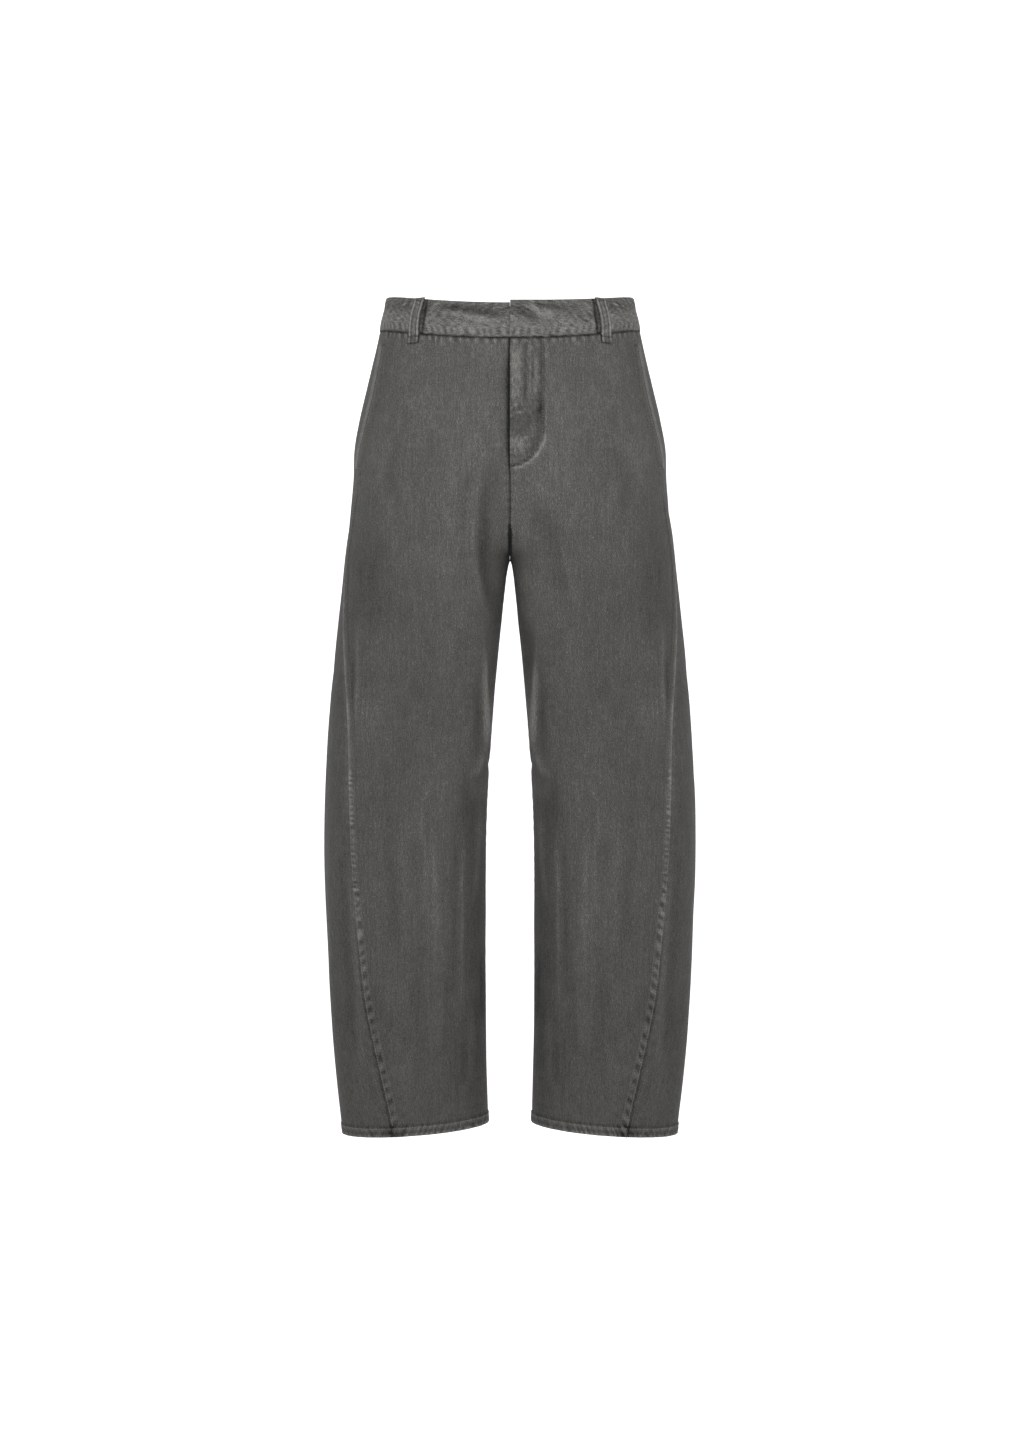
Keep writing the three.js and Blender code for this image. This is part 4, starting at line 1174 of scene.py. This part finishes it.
def band_face(leg, level, along, angle, settings):
    """Points of a waistband half's outer and inner face, the way out, and its wear with painted light and
    shade.
    """
    down = -level
    lapping = leg == "left"
    seed = 2 if lapping else 7
    bare = bare_cloth(level, angle)
    normals = outwards(level, angle)
    creases = np.zeros(level.shape)
    for one, rise, width, line in BAND_CREASES:
        if one == leg:
            off, share = along_line(along, down, line)
            taper = smooth(share, 0, 0.3) * (1 - smooth(share, 0.7, 1))
            creases += rise * taper * soft_line(off, 0, width)
    creases *= smooth(down, 0, 4) * (1 - smooth(down, BAND_HEIGHT - 1, BAND_HEIGHT))
    low = smooth(down, 29.5, 33) * (1 - smooth(down, 37.5, 40))
    high = smooth(down, 0, 3) * (1 - smooth(down, 10, 18))
    drawn = ripples(along + 0.3 * down, 9.4, seed)
    streaks = ripples(along - 0.8 * down, 11, seed + 3)
    # the strip below the middle is fuller, and the seam and the top edge are drawn in
    shaped = (soft_lines(down, BAND_LINES) - 0.9 * (1 - smooth(down, 0, BAND_ROUND))
              - 0.8 * smooth(down, BAND_HEIGHT - BAND_ROUND, BAND_HEIGHT))
    height = (BAND_PROUD + lapping * LAP_RAISE * (1 - smooth(along, 10, 45))
              + creases * settings.crease + shaped
              + settings.pucker * 1000 * (0.8 * low * drawn + 0.5 * high * streaks))
    lining = np.full(level.shape, BAND_PROUD - BAND_THICKNESS)
    outer, inner = lift(bare, normals, height, lining)
    rise = lapping * LAP_RISE * (1 - down / BAND_HEIGHT) * (1 - smooth(along, 20, 150))
    outer[..., 2] += rise
    inner[..., 2] += rise
    dashes = np.clip(1.5 * drawn, -1, 0.6)
    slanting = wobble(along / 9 - down / 3.2, seed) * wobble(along / 31 + down / 11, seed + 2)
    fibres = wobble(along / 5 - down / 2.1, seed + 1) * wobble(along / 23 + down / 7, seed)
    broken = 0.7 + 0.3 * wobble(along / 14, seed)
    # the creases and puckers are paler on their ridges and darker in their troughs, partly wear and
    # partly painted light and shade
    wear_and_shade = (0.14 + 0.65 * creases + 0.5 * low * dashes + 0.25 * high * streaks
            + (0.6 * slanting + 0.4 * fibres) * (1 - 0.6 * low)
            + 0.2 * (1 - smooth(down, 0, 3)) - 0.15 * window(down, 4, 14, 4)
            + 0.26 * window(down, 18, 38, 3) * (0.8 + 0.4 * wobble(along / 37, seed + 3))
            - 1.3 * broken * soft_line(down, BAND_HEIGHT, 0.8))
    # painted shade of a belt loop on the band on its side towards the centre, and a thin painted shadow
    # at its other edge
    for _, loop in BELT_LOOPS:
        beside = (angle - loop) * np.sign(loop)
        wear_and_shade -= 1.6 * window(beside, 3.3, 4.6, 0.5) + 0.7 * soft_line(beside, -3.5, 0.3)
    return outer, inner, normals, np.clip(wear_and_shade, *WEAR_AND_SHADE_LIMITS)


def band_places(level):
    """Lengths and angles along a waistband half, from the centre front to the centre back."""
    angles, lengths, _ = round_level(level, inner_angle(level, True), inner_angle(level, False))
    along = lengths[:, -1:] * np.linspace(0, 1, BAND_COLUMNS + 1)
    return along, np.stack([between(lengths, column, angles) for column in along.T], axis=1)


class JEANS_OT_waistband(bpy.types.Operator):
    """Makes the two halves of the waistband."""

    bl_idname = "jeans.waistband"
    bl_label = "Waistband"

    def execute(self, context):
        share = np.linspace(0, 1, BAND_ROWS + 1)
        # the rows are closer together at the two edges
        levels = -BAND_HEIGHT * (share - 0.24 / np.pi * np.sin(2 * np.pi * share))
        along, angle = band_places(levels)
        level = np.repeat(levels[:, None], along.shape[1], axis=1)
        # the band is cut across the cloth, so its threads run round the waist
        flat = np.stack([level, along + BAND_DOWN], axis=-1)
        for leg in ("left", "right"):
            outer, inner, _, wear_and_shade = band_face(leg, level, along, angle, context.scene.jeans_cloth)
            piece = grid_piece(f"denim_waistband_{leg}", leg, False, (outer, inner), flat, wear_and_shade,
                               "washed_black_denim")
            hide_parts(f"waistband_{leg}")
        return {"FINISHED"}


def loop_frame(level, angle):
    """A belt loop's middle on the bare cloth at each level, its way out and its way across."""
    middle = bare_cloth(level, angle)
    if angle == CENTRE_BACK:
        middle[:, 0] = 0
    normal = outwards(level, angle)
    return middle, normal, unit(np.stack([normal[:, 1], -normal[:, 0], 0 * level], axis=-1))


class JEANS_OT_belt_loops(bpy.types.Operator):
    """Makes the five belt loops."""

    bl_idname = "jeans.belt_loops"
    bl_label = "Belt loops"

    def execute(self, context):
        for leg in ("left", "right"):
            for name, angle in BELT_LOOPS:
                self.make(f"{name}_{leg}", leg, angle)
        self.make("centre_back", "left", CENTRE_BACK)
        return {"FINISHED"}

    def make(self, name, leg, angle):
        """One loop, with the two ridges of its folded edges and the stitching between them."""
        span = np.linspace(0, 1, LOOP_ROWS + 1)
        level = LOOP_PATH[0, 0] + (LOOP_PATH[-1, 0] - LOOP_PATH[0, 0]) * span
        stand = read(LOOP_PATH, 1, level)
        seed = len(name)
        middle, normal, across = loop_frame(level, angle)
        over = np.linspace(LOOP_WIDTH / 2, -LOOP_WIDTH / 2, LOOP_COLUMNS + 1)
        half = np.abs(over) / (LOOP_WIDTH / 2)
        ridges = soft_lines(half, LOOP_LINES)
        rounded = smooth(half, 0.86, 1)
        dents = 0.16 * ripples(level[:, None] + 0.4 * over, 6.5, seed)
        ends = 0.5 * (smooth(-span, -0.05, 0) + smooth(span, 0.97, 1))
        tacks = sum(soft_line(level, at, width) for at, _, width in LOOP_TACKS)
        thick = LOOP_THICKNESS + ridges - 0.7 * rounded + dents - (ends + 0.35 * tacks)[:, None]
        inner = (middle[:, None] + across[:, None] * over[:, None]
                 + normal[:, None] * stand[:, None, None])
        outer = inner + normal[:, None] * thick[..., None]
        flat = np.broadcast_arrays(over + LOOPS_APART * seed, level[:, None] + LOOPS_DOWN)
        foot = 0.9 * soft_line(level, -46, 1.2) + 1.2 * smooth(span, 0.965, 1)
        # the ridges and dents are paler, partly wear and partly painted highlight, and the rounded edges
        # are darker as painted shade
        wear_and_shade = (0.3 + 1.2 * ridges + 1.4 * dents - 1.2 * rounded - 0.3 * soft_line(half, 0.45, 0.14)
                - (0.4 * tacks + foot)[:, None])
        piece = grid_piece(f"denim_belt_loop_{name}", leg, False, (outer, inner),
                           np.stack(flat, axis=-1), wear_and_shade, "washed_black_denim", angle=60)
        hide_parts(f"belt_loop_{name}")


class JEANS_OT_linings(bpy.types.Operator):
    """Makes the pocket bags and the shield behind the fly."""

    bl_idname = "jeans.linings"
    bl_label = "Pocket bags and fly shield"

    def execute(self, context):
        for leg in ("left", "right"):
            self.pocket_bag(leg)
        self.fly_shield()
        return {"FINISHED"}

    def pocket_bag(self, leg):
        """A pouch inside the front, caught to it at its edges and standing off it between them."""
        rows = np.array(panel_rows(True, 4, 4, 2))
        inner_level, outer_level = rows[:, rows[1] > BAG_BOTTOM]
        down = np.linspace(0, 1, len(outer_level))[:, None]
        over = np.linspace(1, 0, BAG_COLUMNS + 1)
        corner = np.clip((down - BAG_STRAIGHT) / (1 - BAG_STRAIGHT), 0, 1)
        away = BAG_WIDTH * np.sqrt(1 - BAG_FOOT * corner ** 2) * over
        hip_total = round_panel(np.maximum(outer_level, SHARE_LEVEL), True)[1][:, -1:]
        share = (hip_total - SEAM_GAP / 2 - away) / hip_total
        level = inner_level[:, None] + (outer_level - inner_level)[:, None] * share
        at = places_along(True, level.ravel(), from_outseam=(SEAM_GAP / 2 + away).ravel())
        angle = at.angle.reshape(level.shape)
        middle = np.sin(np.pi * down) * np.sin(np.pi * over)
        sag = 0.5 * middle * np.sin(over * 19 + down * 5 + (leg == "left"))
        under = CLOTH + BAG_GAP + BAG_BULGE * np.sqrt(np.maximum(0, middle)) + 0.5 * middle + sag
        height = fold_height(leg, level, angle) - under
        faces = lift(bare_cloth(level, angle), outwards(level, angle), height, height - BAG_THICKNESS)
        flat = np.stack([away, level + LININGS_DOWN], axis=-1)
        piece = grid_piece(f"pocketing_bag_{leg}", leg, False, faces, flat, 0 * level,
                           "woven_cotton_pocketing")
        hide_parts(f"pocket_bag_{leg}")

    def fly_shield(self):
        """The flap behind the fly opening, sewn to the wearer's right front."""
        levels = np.linspace(-BAND_HEIGHT - 1, SHIELD_BOTTOM, SHIELD_ROWS + 1)
        over = np.linspace(0, 1, SHIELD_COLUMNS + 1)
        reach = SHIELD_EDGES[0] + (SHIELD_EDGES[1] - SHIELD_EDGES[0]) * over
        level = np.repeat(levels[:, None], len(over), axis=1)
        angles, lengths, _ = round_panel(levels, True)
        angle = np.stack([between(lengths, 0 * levels + away, angles) for away in reach], axis=1)
        height = (fold_height("right", level, angle) - CLOTH - SHIELD_GAP
                  + 0.25 * np.sin(level / 9) * np.sin(np.pi * over) - 0.25)
        faces = lift(bare_cloth(level, angle), outwards(level, angle), height,
                     height - SHIELD_THICKNESS)
        across = reach + SHIELD_ACROSS + 0 * level
        flat = np.stack([across, level + LININGS_DOWN], axis=-1)
        piece = grid_piece("denim_fly_shield", "right", False, faces, flat, 0 * level - 0.2,
                           "washed_black_denim")
        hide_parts("fly_shield")


def stitches_on(points, normals, stitch, pitch, width):
    """A row of stitches along points of the cloth. Each is a thread that dips at its ends."""
    lengths = run_length(points)
    count = max(1, int(lengths[-1] // pitch))
    centres = (np.arange(count) + 0.5) * lengths[-1] / count

    def at(distance, values):
        """Values at a distance along the row."""
        return np.stack([np.interp(distance, lengths, column) for column in values.T], axis=1)

    start = at(centres - stitch / 2, points)
    end = at(centres + stitch / 2, points)
    normal = unit(at(centres, normals))
    side = unit(np.cross(normal, end - start))
    rings = []
    for base, rise, share in ((start, -0.15, 0.5), ((start + end) / 2, 0.22, 1.0), (end, -0.15, 0.5)):
        middle = base + normal * rise
        half = width / 2 * share
        rings += [middle + side * half, middle + normal * half * 0.9,
                  middle - side * half, middle - normal * half * 0.9]
    first = (np.arange(count) * 12)[:, None]
    corners = [(ring + k, ring + k + 4, ring + (k + 1) % 4 + 4, ring + (k + 1) % 4)
               for ring in (0, 4) for k in range(4)]
    corners += [(0, 1, 2, 3), (11, 10, 9, 8)]
    return np.stack(rings, axis=1).reshape(-1, 3), np.concatenate([first + four for four in corners])


class JEANS_OT_sewing(bpy.types.Operator):
    """Sews the seams that show with tonal thread."""

    bl_idname = "jeans.sewing"
    bl_label = "Sewing"

    def execute(self, context):
        self.cloth = context.scene.jeans_cloth
        self.size = context.scene.jeans_sewing
        for leg in ("left", "right"):
            self.points = []
            self.faces = []
            self.panel_rows(leg)
            self.band_rows(leg)
            points = np.concatenate(self.points)
            faces = np.concatenate(self.faces)
            if leg == "right":
                points[:, 0] *= -1
                faces = faces[:, ::-1]
            new_piece(f"stitching_{leg}", points, faces, "tonal_sewing_thread")
        return {"FINISHED"}

    def sew(self, points, normals, tight=1.0):
        """Adds a row of stitches along points."""
        stitch, pitch = (1000 * tight * size for size in (self.size.stitch, self.size.pitch))
        points, faces = stitches_on(points, normals, stitch, pitch, self.size.thread * 1000)
        self.faces.append(faces + sum(len(row) for row in self.points))
        self.points.append(points)

    def sew_panel(self, leg, front, level, tight=1.0, **where):
        """Adds a row of stitches along places on a panel."""
        outer, _, normals, _ = cloth_face(leg, places_along(front, level, **where), self.cloth)
        self.sew(outer, normals, tight)

    def panel_rows(self, leg):
        """The rows on a front and a back."""
        down = np.linspace(-BAND_HEIGHT - 3, HEM_LEVEL + HEM_HEIGHT + 1, 700)
        for away in (2.2, 10.2):
            self.sew_panel(leg, True, down, from_outseam=away)
        level = np.full(240, HEM_LEVEL + HEM_HEIGHT - 1.6)
        for front in (True, False):
            width = round_panel(level[:1], front)[1][0, -1]
            over = np.linspace(0.8, width - 0.8, len(level))
            self.sew_panel(leg, front, level, from_inner=over)
        if leg == "left":
            below = np.linspace(-BAND_HEIGHT - 3, -300, 200)
            for away in (2.0, 8.2):
                self.sew_panel(leg, False, below, from_inner=away)
            self.fly_rows()
        # bar tacks at the two ends of the pocket mouth
        for level in (POCKET_TOP + 1, POCKET_BOTTOM - 1):
            levels = level + 1.4 * (np.arange(12) % 2)
            self.sew_panel(leg, True, levels, 0.5, from_outseam=np.linspace(1.5, 11, 12))

    def fly_rows(self):
        """The curved stitching of the fly, the bar tacks in it and the seam below it."""
        foot = -BAND_HEIGHT - FLY_LENGTH
        straight = -BAND_HEIGHT - FLY_LENGTH * FLY_STRAIGHT
        down = np.linspace(-BAND_HEIGHT - 2, straight, 80)
        curve = np.linspace(0, np.pi / 2, 160)
        level = np.append(down, straight + (foot + FLY_INSET - straight) * np.sin(curve))
        over = np.append(0 * down + 1, np.cos(curve)) * (FLY_WIDTH - FLY_INSET)
        self.sew_panel("left", True, level, from_inner=np.maximum(over, 1))
        for level, end in ((foot + 18, 15), (foot + 3, 9)):
            levels = level + 1.2 * (np.arange(TACK_POINTS) % 2)
            over = np.linspace(1.5, end, TACK_POINTS)
            self.sew_panel("left", True, levels, 0.5, from_inner=over)
        self.sew_panel("left", True, np.linspace(foot - 2, -292, 60), from_inner=2.0)

    def band_rows(self, leg):
        """The rows along the waistband's lower and upper edge, and the tacks on its loops."""
        for level in (-BAND_HEIGHT + 2.8, -3.4):
            along, angle = band_places(np.array([level]))
            outer, _, normals, _ = band_face(leg, 0 * along + level, along, angle, self.cloth)
            self.sew(outer[0], normals[0])
        loops = [angle for _, angle in BELT_LOOPS] + [CENTRE_BACK] * (leg == "left")
        over = np.linspace(-LOOP_WIDTH / 2 + 1.5, LOOP_WIDTH / 2 - 1.5, TACK_POINTS)[:, None]
        for angle in loops:
            for level, stand, _ in LOOP_TACKS:
                middle, normal, across = loop_frame(np.array([level]), angle)
                points = middle + across * over + normal * (stand + LOOP_THICKNESS)
                points[:, 2] += 0.7 * (np.arange(TACK_POINTS) % 2)
                self.sew(points, np.tile(normal, (TACK_POINTS, 1)), 0.5)


class JEANS_OT_stage(bpy.types.Operator):
    """Sets the paper sweep, the soft lights and the camera."""

    bl_idname = "jeans.stage"
    bl_label = "Studio"

    def execute(self, context):
        settings = context.scene.jeans_stage
        self.sweep(settings.floor)
        self.backdrop()
        centre = (0, 0, CAMERA_LEVEL / 1000)
        self.light("key_light", (0, -2.1, 1.1), (0, 0, -0.35), 2.4, 1.4, settings.key)
        self.light("left_light", (-3.0, -2.4, 0.1), centre, 1.8, 2.6, settings.fill)
        self.light("right_light", (3.0, -2.4, 0.1), centre, 1.8, 2.6, settings.fill)
        world = context.scene.world or bpy.data.worlds.new("studio")
        context.scene.world = world
        world.use_nodes = True
        background = world.node_tree.nodes["Background"]
        background.inputs["Color"].default_value = (1, 1, 1, 1)
        background.inputs["Strength"].default_value = WORLD_STRENGTH
        context.scene.view_settings.view_transform = "Standard"
        bpy.ops.object.camera_add(location=(0, -CAMERA_AWAY / 1000, CAMERA_LEVEL / 1000),
                                  rotation=(math.pi / 2, 0, 0))
        camera = context.object
        camera.name = "camera"
        camera.data.sensor_width = SENSOR
        camera.data.lens = SENSOR * CAMERA_AWAY / 1000 / VIEW_HEIGHT
        camera.data.clip_end = 100
        context.scene.camera = camera
        return {"FINISHED"}

    def light(self, name, place, target, width, height, power):
        """A soft rectangular light turned to the object."""
        bpy.ops.object.light_add(type="AREA", location=place)
        light = bpy.context.object
        light.name = name
        light.data.shape = "RECTANGLE"
        light.data.size = width
        light.data.size_y = height
        light.data.energy = power
        x, y, z = (target[i] - place[i] for i in range(3))
        light.rotation_euler = (math.atan2(math.hypot(x, y), -z), 0, math.atan2(-x, y))

    def backdrop(self):
        """A white dome round everything, which only the camera sees, so it lights nothing."""
        bpy.ops.mesh.primitive_uv_sphere_add(segments=48, ring_count=24, radius=DOME_RADIUS)
        dome = bpy.context.object
        dome.name = "backdrop_dome"
        dome.data.materials.append(use_material("lit_white_backdrop"))
        dome.visible_diffuse = False
        dome.visible_glossy = False
        dome.visible_transmission = False
        dome.visible_shadow = False

    def sweep(self, floor):
        """Floor and backdrop in one sheet of paper, curved where they meet."""
        bpy.ops.object.select_all(action="DESELECT")
        bpy.ops.mesh.primitive_plane_add(size=1, location=(0, 0, 0))
        sheet = bpy.context.object
        sheet.name = "paper_sweep"
        for vertex in sheet.data.vertices:
            vertex.co.x *= PAPER_WIDTH
            vertex.co.y = PAPER_BACK if vertex.co.y > 0 else PAPER_FRONT
            vertex.co.z = floor
        self.select_back_edge(sheet, floor)
        bpy.ops.mesh.extrude_region_move(TRANSFORM_OT_translate={"value": (0, 0, PAPER_HEIGHT)})
        self.select_back_edge(sheet, floor)
        bpy.ops.mesh.bevel(offset=PAPER_CURVE, segments=24)
        bpy.ops.object.mode_set(mode="OBJECT")
        bpy.ops.object.shade_smooth()
        sheet.data.materials.append(use_material("white_studio_paper"))

    def select_back_edge(self, sheet, floor):
        """Goes to edge mode with nothing but the floor's back edge selected."""
        bpy.ops.object.mode_set(mode="EDIT")
        bpy.ops.mesh.select_mode(type="EDGE")
        bpy.ops.mesh.select_all(action="DESELECT")
        bpy.ops.object.mode_set(mode="OBJECT")
        for edge in sheet.data.edges:
            ends = [sheet.data.vertices[i].co for i in edge.vertices]
            edge.select = all(end.y > 0 and abs(end.z - floor) < 0.01 for end in ends)
        bpy.ops.object.mode_set(mode="EDIT")


class JEANS_PT_panel(bpy.types.Panel):
    """Lists the settings and the steps that make the jeans."""

    bl_idname = "JEANS_PT_panel"
    bl_label = "Barrel-leg jeans"
    bl_space_type = "VIEW_3D"
    bl_region_type = "UI"
    bl_category = "Jeans"

    def draw(self, context):
        scene = context.scene
        for settings in (scene.jeans_cloth, scene.jeans_sewing, scene.jeans_stage):
            box = self.layout.box()
            for name in settings.__annotations__:
                box.prop(settings, name)
        for step in STEPS:
            self.layout.operator(step.bl_idname)


STEPS = (JEANS_OT_panels, JEANS_OT_waistband, JEANS_OT_belt_loops, JEANS_OT_linings,
         JEANS_OT_sewing, JEANS_OT_stage)
CLASSES = (ClothSettings, SewingSettings, StageSettings) + STEPS + (JEANS_PT_panel,)


def register():
    """Registers the classes and the scene's settings."""
    for one in CLASSES:
        bpy.utils.register_class(one)
    bpy.types.Scene.jeans_cloth = PointerProperty(type=ClothSettings)
    bpy.types.Scene.jeans_sewing = PointerProperty(type=SewingSettings)
    bpy.types.Scene.jeans_stage = PointerProperty(type=StageSettings)


def unregister():
    """Removes the settings and the classes."""
    del bpy.types.Scene.jeans_stage
    del bpy.types.Scene.jeans_sewing
    del bpy.types.Scene.jeans_cloth
    for one in reversed(CLASSES):
        bpy.utils.unregister_class(one)


def main():
    """Makes every piece and the stage."""
    register()
    bpy.ops.jeans.panels()
    bpy.ops.jeans.waistband()
    bpy.ops.jeans.belt_loops()
    bpy.ops.jeans.linings()
    bpy.ops.jeans.sewing()
    bpy.ops.jeans.stage()


if __name__ == "__main__":
    main()
